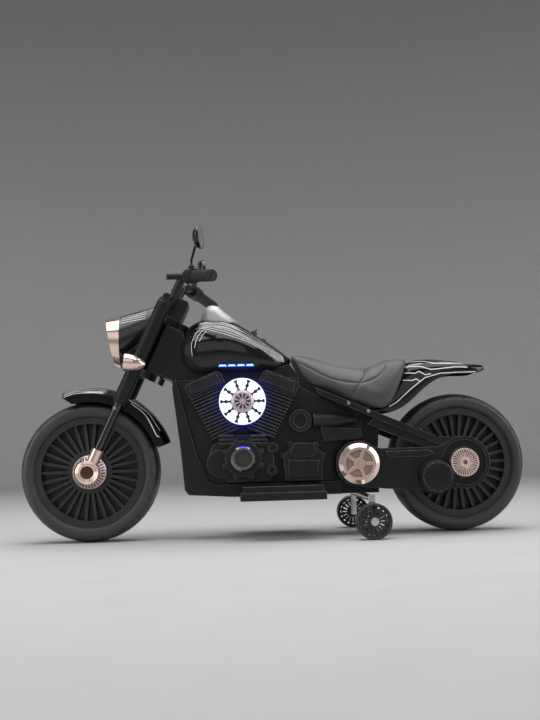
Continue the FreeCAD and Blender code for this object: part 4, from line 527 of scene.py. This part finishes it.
clampLook = {**platedLooks["roseGold"], "metal": 0.8, "stretch": (60.0, 60.0, 60.0), "rough": (0.14, 0.22),
             "edge": 0.0010, "pitch": 0.0034, "turned": (0.0158, 0.0160, 0.0264, 0.0268),
             "groove": (0.0180, 0.0182, 0.0190, 0.0192), "grooveShade": 0.8, "bump": 0.6, "depth": 0.0007}


def makeClampRing():
    # rose plated fork end, its ring turned in steps round the axle, with a groove band darkened by painted shade
    material, tree, shader, spot, flow, wear = roundPlate("clampRing", clampLook, frontAxle)
    reach = spot["Reach"]
    turned = times(tree, waveOf(tree, reach, clampLook["pitch"]), bandMask(tree, reach, clampLook["turned"]))
    groove = times(tree, bandMask(tree, reach, clampLook["groove"]), clampLook["grooveShade"])
    color = mixColor(tree, groove, flow["Color"], tone(clampLook["gap"]))
    join(tree, shader, Base_Color=wornColor(tree, wear, color, clampLook), Roughness=flow["Roughness"])
    bumpFrom(tree, shader, turned, clampLook["bump"], clampLook["depth"], wear["Normal"])
    return material


fanLook = {**platedLooks["roseGold"], "metal": 0.8, "edge": 0.0010, "count": 5.0, "spokeHalf": 0.004,
           "band": (0.0128, 0.0132, 0.0312, 0.0318), "floor": (0.17, 0.08, 0.055), "floorShade": 0.5}


def makeFanCover():
    # polished cover, its five sunk sectors darkened with painted shade
    material, tree, shader, spot, flow, wear = roundPlate("fanCover", fanLook, coverMiddle)
    half = fanLook["spokeHalf"]
    sunk = times(tree, rangeNode(tree, spot["Across"], half, half * 1.1, 0.0, fanLook["floorShade"]),
                 bandMask(tree, spot["Reach"], fanLook["band"]))
    color = mixColor(tree, sunk, flow["Color"], tone(fanLook["floor"]))
    join(tree, shader, Base_Color=wornColor(tree, wear, color, fanLook), Roughness=flow["Roughness"])
    bumpFrom(tree, shader, flow["Height"], fanLook["bump"], brushDepth, wear["Normal"])
    return material


crankLook = {"dark": 0.24, "light": 0.32, "stretch": (60.0, 60.0, 60.0), "gap": 0.01, "rub": 0.6, "rubbed": 0.5,
             "edge": 0.0012, "reach": 0.006, "band": (0.0203, 0.0207, 0.0300, 0.0306), "bump": 0.06,
             "roughMatt": 0.38, "roughRing": 0.15, "matt": {"dark": 0.020, "light": 0.030, "grain": 1100.0}}


def makeCrankCover():
    # matt cover with a dark chrome ring let into it
    material, tree, shader, spot, flow, wear = roundPlate("crankCover", crankLook, crankMiddle)
    ring = bandMask(tree, spot["Reach"], crankLook["band"])
    grain = grainNode(tree, crankLook["matt"])
    color = mixColor(tree, ring, grain["Color"], flow["Color"])
    join(tree, shader, Base_Color=wornColor(tree, wear, color, crankLook), Metallic=ring,
         Roughness=rangeNode(tree, ring, 0.0, 1.0, crankLook["roughMatt"], crankLook["roughRing"]))
    bumpFrom(tree, shader, grain["Height"], crankLook["bump"], grainDepth, wear["Normal"])
    return material


tankLook = {"dark": 0.005, "light": 0.007, "grain": 2600.0, "satin": 0.014, "frontX": -0.192, "edgeZ": 0.3985,
            "corner": 0.030, "blur": 0.0004, "dust": 0.01, "bump": 0.01, "skirtRough": (0.07, 0.40), "coat": 0.6}


def makeTankPaint():
    # gloss upper shell, satin skirt below and ahead of a rounded paint edge
    material, tree, shader = newMaterial("tankPaint", Coat_Roughness=0.13, Specular_IOR_Level=0.15)
    part, corner, blur = splitXYZ(tree, objectPlace(tree)), tankLook["corner"], tankLook["blur"]
    short = [mathNode(tree, "MAXIMUM", mathNode(tree, "SUBTRACT", edge + corner, part[label]), 0.0)
             for label, edge in (("X", tankLook["frontX"]), ("Z", tankLook["edgeZ"]))]
    flat = addNode(tree, "ShaderNodeCombineXYZ", X=short[0], Y=short[1])
    off = vectorMath(tree, "LENGTH", flat.outputs[0])["Value"]
    skirt = rise(tree, off, corner - blur, corner + blur)
    grain = grainNode(tree, tankLook)
    dust = groupNode(tree, dustVeil, Amount=tankLook["dust"])["Mask"]
    color = mixColor(tree, skirt, grain["Color"], tone(tankLook["satin"]))
    join(tree, shader, Base_Color=mixColor(tree, dust, color, tone(dustShade)),
         Roughness=rangeNode(tree, skirt, 0.0, 1.0, *tankLook["skirtRough"]),
         Coat_Weight=rangeNode(tree, skirt, 0.0, 1.0, tankLook["coat"], 0.0))
    bumpFrom(tree, shader, grain["Height"], tankLook["bump"], grainDepth)
    return material


discLook = {"white": (0.93, 0.95, 1.0), "outer": (0.84, 0.89, 1.0), "rim": (0.70, 0.76, 1.0),
            "spill": (0.6, 0.75, 11.0), "spokeDark": (0.012, 0.012, 0.03), "count": 10.0,
            "spokeBand": (0.0255, 0.0262, 0.0505, 0.0520),
            "lobePitch": 0.0115, "spokeHalf": (0.0022, 0.0042), "blur": 0.0002, "glow": (0.03, 0.054),
            "ring": (0.0270, 0.0276), "ringShade": 0.7, "rimDepth": 0.1045, "rimBlur": 0.0003}


def makeLitDisc():
    # white back-lit ring with ten dark lobed spokes and a blue rim
    material, tree, shader = newMaterial("litDisc", Roughness=0.3, Emission_Strength=1.0)
    spot = groupNode(tree, radialRepeat, Centre=discMiddle, Count=discLook["count"])
    reach, blur, depth = spot["Reach"], discLook["blur"], discLook["rimDepth"]
    half = rangeNode(tree, waveOf(tree, reach, discLook["lobePitch"]), -0.5, 0.6, *discLook["spokeHalf"])
    spoke = fall(tree, mathNode(tree, "SUBTRACT", spot["Across"], half), -blur, blur)
    dark = times(tree, spoke, bandMask(tree, reach, discLook["spokeBand"]))
    glow = rise(tree, reach, *discLook["glow"])
    white = mixColor(tree, glow, tone(discLook["white"]), tone(discLook["outer"]))
    ring = rangeNode(tree, reach, *discLook["ring"], discLook["ringShade"], 0.0)
    color = mixColor(tree, mathNode(tree, "MAXIMUM", dark, ring), white, tone(discLook["spokeDark"]))
    side = fall(tree, spot["Depth"], depth - discLook["rimBlur"], depth)
    seen = addNode(tree, "ShaderNodeLightPath").outputs["Is Camera Ray"]
    rim = mixColor(tree, seen, tone(discLook["spill"]), tone(discLook["rim"]))
    join(tree, shader, Base_Color=mixColor(tree, side, color, tone(discLook["rim"])),
         Emission_Color=mixColor(tree, side, color, rim))
    return material


hubLook = {"dark": (0.45, 0.38, 0.42), "light": (0.55, 0.47, 0.51), "stretch": (60.0, 60.0, 60.0), "edge": 0.0005,
           "reach": 0.003, "petalBand": (0.0065, 0.0072, 0.0168, 0.0175), "petalShare": (0.24, 0.30),
           "petal": (0.03, 0.03, 0.10), "ring": 0.0195, "ringHalf": (0.0004, 0.0007), "ringShade": 0.6,
           "centre": (0.0046, 0.0050), "copper": (0.80, 0.58, 0.44), "gap": (0.05, 0.04, 0.08)}


def makeDiscHub():
    # pale plated hub ring round ten petal pockets darkened with painted shade, a thin painted shade ring and a copper
    # centre
    material, tree, shader, spot, flow, wear = roundPlate("discHub", hubLook, discMiddle)
    join(tree, shader, Roughness=0.28, Emission_Strength=0.10)
    reach = spot["Reach"]
    petal = times(tree, fall(tree, spot["Share"], *hubLook["petalShare"]),
                  bandMask(tree, reach, hubLook["petalBand"]))
    off = mathNode(tree, "ABSOLUTE", mathNode(tree, "SUBTRACT", reach, hubLook["ring"]))
    ring = rangeNode(tree, off, *hubLook["ringHalf"], hubLook["ringShade"], 0.0)
    centre = fall(tree, reach, *hubLook["centre"])
    color = mixColor(tree, mathNode(tree, "MAXIMUM", petal, ring), flow["Color"], tone(hubLook["petal"]))
    color = mixColor(tree, centre, color, tone(hubLook["copper"]))
    color = mixColor(tree, wear["Recess"], color, tone(hubLook["gap"]))
    join(tree, shader, Base_Color=color, Emission_Color=color, Normal=wear["Normal"],
         Metallic=rangeNode(tree, reach, *hubLook["centre"], 0.9, 0.35))
    return material


barLook = {"blue": (0.02, 0.10, 0.95), "core": (0.45, 0.68, 1.0)}


def makeLitBlue():
    # blue light bars, brightest along their middle line
    material, tree, shader = newMaterial("litBlue", Roughness=0.25, Emission_Strength=1.6)
    low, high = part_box("tank_lights")
    height = splitXYZ(tree, objectPlace(tree))["Z"]
    off = mathNode(tree, "ABSOLUTE", mathNode(tree, "SUBTRACT", height, (low.z + high.z) / 2))
    core = fall(tree, off, 0.0, (high.z - low.z) / 2)
    color = mixColor(tree, core, tone(barLook["blue"]), tone(barLook["core"]))
    join(tree, shader, Base_Color=color, Emission_Color=color)
    return material


lensLook = {"dark": (0.80, 0.83, 0.86), "light": (0.9, 0.92, 0.95), "flutes": 55.0, "bump": 0.25, "depth": 0.001}


def makeClearLens():
    material, tree, shader = newMaterial("clearLens", Roughness=0.05, IOR=1.45, Transmission_Weight=0.85)
    place = objectPlace(tree)
    flute = addNode(tree, "ShaderNodeTexWave", Scale=lensLook["flutes"], Distortion=0.0, bands_direction="Y",
                    Vector=place)
    cloud = noise(tree, place, Scale=30.0)["Fac"]
    join(tree, shader, Base_Color=mixColor(tree, cloud, tone(lensLook["dark"]), tone(lensLook["light"])))
    bumpFrom(tree, shader, flute.outputs["Fac"], lensLook["bump"], lensLook["depth"])
    return material


finish.update({
    "seatLeather": makeLeather(), "gripRubber": makeGripRubber(), "tankPaint": makeTankPaint(),
    "frontTyreRubber": makeTyreRubber("frontTyreRubber", frontAxle),
    "rearTyreRubber": makeTyreRubber("rearTyreRubber", rearAxle),
    "litDisc": makeLitDisc(), "discHub": makeDiscHub(), "litBlue": makeLitBlue(), "clearLens": makeClearLens(),
    "fanCover": makeFanCover(), "clampRing": makeClampRing(), "crankCover": makeCrankCover(),
})
finish.update({name: ribbedMaterial(name, look) for name, look in ribLooks.items()})
print("finishes built:", len(finish))

nodeFinish = {
    "bodyPlastic": ["body_left", "body_right", "footboard_left", "footboard_right",
                    "fork_uppers", "upper_clamp", "bar_clamp", "control_pods",
                    "accelerator_pedal"],
    "engineCasting": ["engine_left", "engine_right"],
    "coverPlastic": ["motor_cover", "swing_arm_left", "swing_arm_right", "seat_struts"],
    "crankCover": ["crankcase_covers"],
    "darkRose": ["front_axle"],
    "tankPaint": ["tank"],
    "glossPaint": ["rear_fender", "front_fender", "mirror_left", "mirror_right"],
    "shellPaint": ["headlight_shell"],
    "satinSilver": ["console"],
    "roseGold": ["headlight_bezel", "turn_signals"],
    "clampRing": ["axle_clamps"],
    "fanCover": ["round_covers"],
    "ribbedHub": ["front_hub_covers"],
    "ribbedCap": ["rear_hub_caps"],
    "discHub": ["light_disc_hubs"],
    "frontTyreRubber": ["front_tyre"],
    "rearTyreRubber": ["rear_tyre"],
    "rimPlastic": ["front_rim", "rear_rim", "stabiliser_wheel_left", "stabiliser_wheel_right"],
    "powderTube": ["handlebar"],
    "polishedTube": ["fork_lowers"],
    "steelRod": ["rear_axle", "steering_stem", "motor_pinion", "strut_screws"],
    "brightLeg": ["stabiliser_bar", "stabiliser_legs"],
    "gripRubber": ["grips"],
    "clearLens": ["headlight_lens", "turn_signal_lenses"],
    "litDisc": ["light_discs"],
    "litBlue": ["tank_lights"],
    "redPlastic": ["tail_light", "start_button"],
    "mirrorFilm": ["mirror_glass_left", "mirror_glass_right"],
    "innerPlastic": ["battery", "control_board", "drive_motor", "wheel_gear", "direction_switch"],
}


def paintNodes():
    for name, members in nodeFinish.items():
        for member in members:
            piece = cadNodes[member]
            if not piece.material_slots:
                piece.data.materials.append(finish[name])
            for slot in piece.material_slots:
                slot.material = finish[name]


paintNodes()


# saddle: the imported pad, remeshed, puffed by a cloth run and drawn in along its seams
seatSetup = {"voxel": 0.004, "inset": 0.0018, "pressure": 4.0, "cap": 0.005, "frames": 20,
             "groove": 0.0020, "grooveWidth": 0.0032, "weld": 0.00002, "heldBelow": -0.4, "soften": (0.5, 6),
             "sidePoints": 90, "crossPoints": 40, "crossShift": 0.004}
sideSeam = [(0.066, 0.404), (0.092, 0.387), (0.131, 0.366), (0.169, 0.356), (0.200, 0.353), (0.226, 0.359),
            (0.248, 0.372), (0.264, 0.391)]
crossSeam = [(0.178, 0.322), (0.191, 0.340), (0.203, 0.357), (0.215, 0.374), (0.219, 0.384)]


pathSteps = 12


def smoothPath(points, count):
    # even samples on a curve through the points
    points = [Vector(p) for p in points]
    full = [points[0] * 2 - points[1]] + points + [points[-1] * 2 - points[-2]]
    fine = []
    for a, b, c, d in zip(full, full[1:], full[2:], full[3:]):
        for step in range(pathSteps):
            t = step / pathSteps
            fine.append(0.5 * (2 * b + (c - a) * t + (2 * a - 5 * b + 4 * c - d) * t * t
                               + (3 * b - 3 * c + d - a) * t ** 3))
    fine.append(points[-1])
    lengths = [0.0]
    for p, q in zip(fine, fine[1:]):
        lengths.append(lengths[-1] + (q - p).length)
    samples, place = [], 0
    for number in range(count):
        goal = lengths[-1] * number / (count - 1)
        while place < len(lengths) - 2 and lengths[place + 1] < goal:
            place += 1
        span = lengths[place + 1] - lengths[place] or 1
        samples.append(fine[place].lerp(fine[place + 1], (goal - lengths[place]) / span))
    return samples


def makeSeat():
    mesh = cadNodes["seat_cushion"].data.copy()
    cleanMesh(mesh, seatSetup["weld"])
    shaped = addObject("seatShape", mesh)
    shaped.modifiers.new("even", "REMESH").voxel_size = seatSetup["voxel"]
    mesh = plainMesh(shaped)
    bpy.data.objects.remove(shaped)
    for vertex, normal in zip(mesh.vertices, [v.normal.copy() for v in mesh.vertices]):
        vertex.co -= normal * seatSetup["inset"]
    piece = addObject("seatPad", mesh)
    start = [v.co.copy() for v in mesh.vertices]
    held = piece.vertex_groups.new(name="underside")
    held.add([v.index for v in mesh.vertices if v.normal.z < seatSetup["heldBelow"]], 1.0, "REPLACE")
    cloth = piece.modifiers.new("puff", "CLOTH")
    cloth.settings.use_pressure = True
    cloth.settings.uniform_pressure_force = seatSetup["pressure"]
    cloth.settings.effector_weights.gravity = 0.0
    cloth.settings.vertex_group_mass = held.name
    cloth.point_cache.frame_end = seatSetup["frames"]
    for number in range(1, seatSetup["frames"] + 1):
        scene.frame_set(number)
    puffed = plainMesh(piece)
    piece.modifiers.clear()
    piece.vertex_groups.clear()
    for vertex, before, after in zip(mesh.vertices, start, [v.co.copy() for v in puffed.vertices]):
        move = after - before
        if move.length > seatSetup["cap"]:
            move.length = seatSetup["cap"]
        vertex.co = before + move
    bpy.data.meshes.remove(puffed)
    scene.frame_set(1)
    soften = piece.modifiers.new("soften", "SMOOTH")
    soften.factor, soften.iterations = seatSetup["soften"]
    split = piece.modifiers.new("split", "SUBSURF")
    split.levels = split.render_levels = 1
    piece.data = plainMesh(piece)
    piece.modifiers.clear()
    setSmooth(piece.data)
    return piece


def sideHit(tree, x, z, fromY=-1.0):
    return tree.ray_cast(Vector((x, fromY, z)), Vector((0, -math.copysign(1, fromY), 0)))[:2]


def sideHits(tree, route, count, fromY=-1.0):
    hits = [sideHit(tree, p.x, p.y, fromY) for p in smoothPath([(x, z, 0) for x, z in route], count)]
    return [hit for hit in hits if hit[0]]


def mirrored(vector, side=-1):
    return Vector((vector.x, vector.y * side, vector.z))


def seamRoutes(tree):
    # the two side seams and the cross seam over the top, on the puffed pad
    routes = [sideHits(tree, sideSeam, seatSetup["sidePoints"], side) for side in (-1, 1)]
    points = seatSetup["crossPoints"]
    upward = sideHits(tree, crossSeam, points)
    crossing, last = list(upward), upward[-1][0]
    for number in range(1, points):
        start = Vector((last.x + seatSetup["crossShift"], last.y - 2 * last.y * number / points, 1.0))
        place, normal = tree.ray_cast(start, Vector((0, 0, -1)))[:2]
        if place:
            crossing.append((place, normal))
    crossing.extend((mirrored(place), mirrored(normal)) for place, normal in reversed(upward))
    return routes + [crossing]


def pressSeams(piece, routes):
    spots = [place for route in routes for place, normal in route]
    near = KDTree(len(spots))
    for number, spot in enumerate(spots):
        near.insert(spot, number)
    near.balance()
    normals = [v.normal.copy() for v in piece.data.vertices]
    for vertex, normal in zip(piece.data.vertices, normals):
        reach = near.find(vertex.co)[2]
        if reach < 3 * seatSetup["grooveWidth"]:
            vertex.co -= normal * seatSetup["groove"] * math.exp(-(reach / seatSetup["grooveWidth"]) ** 2)


# one tree repeats a small shape along a path or at points
repeatShapes = {
    "stitch": ("GeometryNodeMeshUVSphere", {"Segments": 8, "Rings": 6, "Radius": 0.5}),
    "bolt": ("GeometryNodeMeshCylinder", {"Vertices": 12, "Radius": 0.5, "Depth": 1.0}),
}


def repeatTree(name, shape, alongPath):
    tree = bpy.data.node_groups.new(name, "GeometryNodeTree")
    for label, kind in (("Geometry", "Geometry"), ("Pitch", "Float"), ("Size", "Vector"), ("Facing", "Vector"),
                        ("Finish", "Material")):
        tree.interface.new_socket(label, in_out="INPUT", socket_type="NodeSocket" + kind)
    tree.interface.new_socket("Geometry", in_out="OUTPUT", socket_type="NodeSocketGeometry")
    start, end = tree.nodes.new("NodeGroupInput"), tree.nodes.new("NodeGroupOutput")
    kind, settings = repeatShapes[shape]
    unit = addNode(tree, kind, **settings)
    place = tree.nodes.new("GeometryNodeInstanceOnPoints")
    align = addNode(tree, "FunctionNodeAlignRotationToVector", axis="Z")
    link = tree.links.new
    if alongPath:
        toCurve = tree.nodes.new("GeometryNodeMeshToCurve")
        even = addNode(tree, "GeometryNodeResampleCurve", mode="LENGTH")
        tangent = tree.nodes.new("GeometryNodeInputTangent")
        link(start.outputs["Geometry"], toCurve.inputs[0])
        link(toCurve.outputs[0], even.inputs["Curve"])
        link(start.outputs["Pitch"], even.inputs["Length"])
        link(even.outputs[0], place.inputs["Points"])
        link(tangent.outputs[0], align.inputs["Vector"])
    else:
        link(start.outputs["Geometry"], place.inputs["Points"])
        link(start.outputs["Facing"], align.inputs["Vector"])
    link(unit.outputs["Mesh"], place.inputs["Instance"])
    link(align.outputs[0], place.inputs["Rotation"])
    link(start.outputs["Size"], place.inputs["Scale"])
    real = tree.nodes.new("GeometryNodeRealizeInstances")
    paint = tree.nodes.new("GeometryNodeSetMaterial")
    link(place.outputs[0], real.inputs[0])
    link(real.outputs[0], paint.inputs["Geometry"])
    link(start.outputs["Finish"], paint.inputs["Material"])
    link(paint.outputs[0], end.inputs["Geometry"])
    return tree


stitchTree = repeatTree("stitchesAlongSeam", "stitch", True)
boltTree = repeatTree("boltsAtPoints", "bolt", False)


def runTree(name, tree, verts, edges, values, body):
    mesh = bpy.data.meshes.new(name + "Guide")
    mesh.from_pydata([tuple(v) for v in verts], edges, [])
    guide = addObject(name + "Guide", mesh)
    modifier = guide.modifiers.new("repeat", "NODES")
    modifier.node_group = tree
    for item in tree.interface.items_tree:
        if item.item_type == "SOCKET" and item.in_out == "INPUT" and item.name in values:
            modifier[item.identifier] = values[item.name]
    piece = addObject(name, plainMesh(guide))
    bpy.data.objects.remove(guide)
    finishPiece(piece, body, values["Finish"])
    setSmooth(piece.data, values.get("Smooth", True))


stitchSetup = {"pitch": 0.0055, "size": (0.0011, 0.0011, 0.0042), "lift": 0.0002}


def stitchRow(name, route):
    verts = [place + normal * stitchSetup["lift"] for place, normal in route]
    edges = [(i, i + 1) for i in range(len(verts) - 1)]
    runTree(name, stitchTree, verts, edges, {"Pitch": stitchSetup["pitch"], "Size": stitchSetup["size"],
                                             "Finish": finish["stitchThread"]}, "chassis")


def boltSet(name, spots, facing, size, material, body):
    runTree(name, boltTree, spots, [], {"Size": size, "Facing": facing, "Finish": finish[material],
                                        "Smooth": False}, body)


seatPad = makeSeat()
seatRoutes = seamRoutes(surfaceTree("seatPad"))
pressSeams(seatPad, seatRoutes)
finishPiece(seatPad, "chassis", finish["seatLeather"])
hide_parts("seat_cushion")
for label, route in zip(("seatStitchLeft", "seatStitchRight", "seatStitchCross"),
                        seamRoutes(surfaceTree("seatPad"))):
    stitchRow(label, route)
print("saddle done:", len(seatPad.data.polygons), "faces")


# pinstripes lie on the painted shells as thin closed ribbons
stripeSetup = {"tank": 0.0013, "fender": 0.0019, "tail": 0.0023, "lift": 0.0002, "sink": 0.0003}


def ribbon(name, hits, width, body):
    verts, faces = [], []
    for side in (1, -1):
        first = len(verts)
        flipped = [(mirrored(place, side), mirrored(normal, side)) for place, normal in hits]
        for number, (place, normal) in enumerate(flipped):
            before = flipped[max(0, number - 1)][0]
            after = flipped[min(len(flipped) - 1, number + 1)][0]
            across = (after - before).cross(normal).normalized() * (width / 2)
            top, low = normal * stripeSetup["lift"], normal * -stripeSetup["sink"]
            verts.extend([place + across + top, place - across + top, place - across + low, place + across + low])
        last = len(flipped) - 1
        for number in range(last):
            a, b = first + 4 * number, first + 4 * number + 4
            faces.extend([[a + i, a + (i + 1) % 4, b + (i + 1) % 4, b + i] for i in range(4)])
        faces.append([first, first + 1, first + 2, first + 3])
        end = first + 4 * last
        faces.append([end + 3, end + 2, end + 1, end])
    piece = addObject(name, meshFrom(name, verts, faces, smooth=False))
    finishPiece(piece, body, finish["paleLine"])


castReach = 0.4


def roundHit(tree, x, centreZ, degrees):
    # from outside towards the middle of the section at x
    angle = math.radians(degrees)
    outward = Vector((0, -math.cos(angle), math.sin(angle)))
    place, normal = tree.ray_cast(Vector((x, 0, centreZ)) + outward * castReach, -outward)[:2]
    return (place, normal) if place else None


# side-view routes (x, z); lines lie evenly between each low and high route
tankLines = {
    "count": 6,
    "low": [(-0.168, 0.492), (-0.143, 0.484), (-0.107, 0.472), (-0.046, 0.448), (0.008, 0.414), (0.026, 0.408)],
    "high": [(-0.160, 0.506), (-0.128, 0.507), (-0.088, 0.496), (-0.039, 0.467), (0.001, 0.437), (0.024, 0.419)],
    "front": [(-0.1705, 0.4890), (-0.179, 0.4795), (-0.187, 0.464), (-0.191, 0.446), (-0.189, 0.424)],
    "frontCount": 3, "frontStep": (0.0075, 0.0030),
}


def sideLine(name, tree, route, width, body, count=80):
    ribbon(name, sideHits(tree, route, count), width, body)


def tankStripes():
    tree = surfaceTree("tank")
    for number in range(tankLines["count"]):
        share = number / (tankLines["count"] - 1)
        route = [(x0 + (x1 - x0) * share, z0 + (z1 - z0) * share)
                 for (x0, z0), (x1, z1) in zip(tankLines["low"], tankLines["high"])]
        sideLine("tankLine%d" % number, tree, route, stripeSetup["tank"], "chassis")
    for number in range(tankLines["frontCount"]):
        back, down = [step * number for step in tankLines["frontStep"]]
        route = [(x + back, z - down) for x, z in tankLines["front"][:5 - number]]
        sideLine("tankFrontLine%d" % number, tree, route, stripeSetup["tank"], "chassis", 50)


# (degrees about the front axle, radius) of each end of the fender's lines
fenderLines = [
    [(107.0, 0.1955), (92.0, 0.1965), (79.0, 0.1950)],
    [(108.0, 0.1915), (94.0, 0.1935), (78.0, 0.1925)],
    [(108.5, 0.1875), (96.0, 0.1895), (77.0, 0.1900)],
    [(108.0, 0.1835), (98.0, 0.1850), (80.0, 0.1870)],
    [(61.0, 0.1900), (45.0, 0.1905), (29.0, 0.1880)],
    [(58.0, 0.1850), (44.0, 0.1835), (28.0, 0.1760), (25.5, 0.1800)],
]


def fenderStripes():
    tree = surfaceTree("front_fender")
    for number, corners in enumerate(fenderLines):
        angles = [(math.radians(turn), reach) for turn, reach in corners]
        route = [(frontAxle.x + reach * math.cos(angle), frontAxle.z + reach * math.sin(angle))
                 for angle, reach in angles]
        sideLine("fenderLine%d" % number, tree, route, stripeSetup["fender"], "steering", 60)


shellLines = {"count": 4, "firstDeg": 40.0, "stepDeg": 7.0, "inset": 0.003, "length": 0.058, "centreZ": 0.468,
              "rise": 0.016, "points": 30}


def shellStripes():
    tree = surfaceTree("headlight_shell")
    low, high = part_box("headlight_shell")
    for number in range(shellLines["count"]):
        angle = shellLines["firstDeg"] + shellLines["stepDeg"] * number
        hits = []
        for step in range(shellLines["points"]):
            t = step / (shellLines["points"] - 1)
            x = low.x + shellLines["inset"] + shellLines["length"] * t
            hits.append(roundHit(tree, x, shellLines["centreZ"] + shellLines["rise"] * t, angle))
        ribbon("shellLine%d" % number, [hit for hit in hits if hit], stripeSetup["tank"], "steering")


tailLines = [
    [(0.316, 0.4036), (0.3585, 0.4030), (0.382, 0.3965), (0.400, 0.3960), (0.455, 0.3955), (0.478, 0.3930)],
    [(0.314, 0.3902), (0.349, 0.3895), (0.372, 0.3815), (0.390, 0.3830), (0.430, 0.3865), (0.462, 0.3850)],
    [(0.310, 0.3750), (0.335, 0.3735), (0.3435, 0.3780), (0.358, 0.3690), (0.372, 0.3715)],
    [(0.304, 0.3575), (0.327, 0.3565), (0.335, 0.3600), (0.345, 0.3535)],
    [(0.268, 0.2960), (0.287, 0.3065), (0.319, 0.3345), (0.356, 0.3620), (0.392, 0.3720), (0.430, 0.3735),
     (0.484, 0.3745)],
]
tailSteps = 16


def tailStripes():
    tree = surfaceTree("rear_fender")
    for number, route in enumerate(tailLines):
        hits = []
        for (x0, z0), (x1, z1) in zip(route, route[1:]):
            hits.extend(sideHit(tree, x0 + (x1 - x0) * step / tailSteps, z0 + (z1 - z0) * step / tailSteps)
                        for step in range(tailSteps))
        ribbon("tailLine%d" % number, [hit for hit in hits if hit[0]], stripeSetup["tail"], "chassis")


tankStripes()
fenderStripes()
shellStripes()
tailStripes()
print("pinstripes done")


# bolts on the engine sides, fork screws, and dark discs of painted shade for screw holes and vent marks
sideways = (0, 1, 0)
crankBolts = {"count": 8, "radius": 0.044, "out": 0.0885, "turn": math.pi / 8, "size": (0.0052, 0.0052, 0.004)}
fasteners = {
    "shellScrews": {"node": "body_left", "places": [(-0.223, 0.4825), (-0.241, 0.4395)], "body": "chassis",
                    "size": (0.006, 0.006, 0.0012), "finish": "shadowGap", "slot": "body_plastic"},
    "forkScrews": {"node": "fork_lowers", "places": [(-0.3694, 0.3077)], "body": "steering",
                   "size": (0.009, 0.009, 0.004), "finish": "steelRod", "slot": "steel"},
    "armVents": {"node": "swing_arm_left", "places": [(0.2766, 0.1884), (0.2905, 0.1880), (0.3044, 0.1877)],
                 "body": "chassis", "size": (0.007, 0.007, 0.0012), "finish": "shadowGap", "slot": "body_plastic"},
}


def engineBolts():
    spots, radius = [], crankBolts["radius"]
    for side in (-1, 1):
        for number in range(crankBolts["count"]):
            angle = crankBolts["turn"] + fullTurn * number / crankBolts["count"]
            spots.append((crankMiddle.x + radius * math.cos(angle), side * crankBolts["out"],
                          crankMiddle.z + radius * math.sin(angle)))
    boltSet("crankBolts", spots, sideways, crankBolts["size"], "engineCasting", "chassis")


def sideSpots(node, places):
    tree = surfaceTree(node)
    spots = []
    for x, z in places:
        place, normal = sideHit(tree, x, z)
        if place:
            spots.extend([place, mirrored(place)])
    return spots


engineBolts()
for label, setup in fasteners.items():
    boltSet(label, sideSpots(setup["node"], setup["places"]), sideways, setup["size"], setup["finish"], setup["body"])
print("fasteners done")


# stage: pale round floor running up into a plain wall all round, soft studio light
stageSetup = {"radius": 5.0, "bend": 1.2, "bendSteps": 12, "height": 5.6, "turns": 72, "rings": (0.6, 1.5, 2.6),
              "dark": 0.56, "light": 0.57, "grain": 60.0, "rough": (0.6, 0.75)}


def makeStage():
    radius, bend, turns = stageSetup["radius"], stageSetup["bend"], stageSetup["turns"]
    profile = [(reach, 0.0) for reach in (*stageSetup["rings"], radius - bend)]
    for number in range(1, stageSetup["bendSteps"] + 1):
        angle = math.pi / 2 * number / stageSetup["bendSteps"]
        profile.append((radius - bend + bend * math.sin(angle), bend * (1 - math.cos(angle))))
    profile.append((radius, stageSetup["height"]))
    verts, faces = [(0, 0, 0)], []
    for reach, height in profile:
        for number in range(turns):
            angle = fullTurn * number / turns
            verts.append((reach * math.cos(angle), reach * math.sin(angle), height))
    for number in range(turns):
        after = (number + 1) % turns
        faces.append([0, 1 + number, 1 + after])
        for ring in range(len(profile) - 1):
            low, high = 1 + ring * turns, 1 + (ring + 1) * turns
            faces.append([low + number, high + number, high + after, low + after])
    floor = addObject("studioSweep", meshFrom("studioSweep", verts, faces))
    material, tree, shader = newMaterial("studioPaper", Specular_IOR_Level=0.2)
    grain = grainNode(tree, stageSetup)
    join(tree, shader, Base_Color=grain["Color"], Roughness=grain["Roughness"])
    floor.data.materials.append(material)


lampSetup = {
    "topPanel": {"place": (0.0, -0.35, 2.6), "aim": (0, 0.0, 0.3), "size": (3.4, 2.2), "power": 66.0},
    "frontStrip": {"place": (-2.4, -1.0, 1.0), "aim": (0, 0, 0.3), "size": (0.8, 2.2), "power": 22.0},
    "rearStrip": {"place": (2.4, -1.1, 1.1), "aim": (0, 0, 0.3), "size": (0.8, 2.2), "power": 20.0},
    "fillPanel": {"place": (-0.4, -3.8, 2.2), "aim": (0, 0, 0.3), "size": (4.4, 2.6), "power": 25.0},
    "backPanel": {"place": (0.3, 1.6, 3.6), "aim": (0, 0, 0.4), "size": (3.0, 0.8), "power": 34.0},
}
airSetup = {"color": (0.75, 0.77, 0.8), "strength": 0.06}


def makeLights():
    for name, setup in lampSetup.items():
        data = bpy.data.lights.new(name, "AREA")
        data.shape = "RECTANGLE"
        data.size, data.size_y = setup["size"]
        data.energy = setup["power"]
        lamp = addObject(name, data)
        lamp.location = setup["place"]
        aim = Vector(setup["aim"]) - lamp.location
        lamp.rotation_euler = aim.to_track_quat("-Z", "Y").to_euler()
    world = bpy.data.worlds.new("studioAir")
    world.use_nodes = True
    join(world.node_tree, world.node_tree.nodes["Background"], Color=tone(airSetup["color"]),
         Strength=airSetup["strength"])
    scene.world = world


makeCamera()
makeStage()
makeLights()
print("stage, light and camera done")
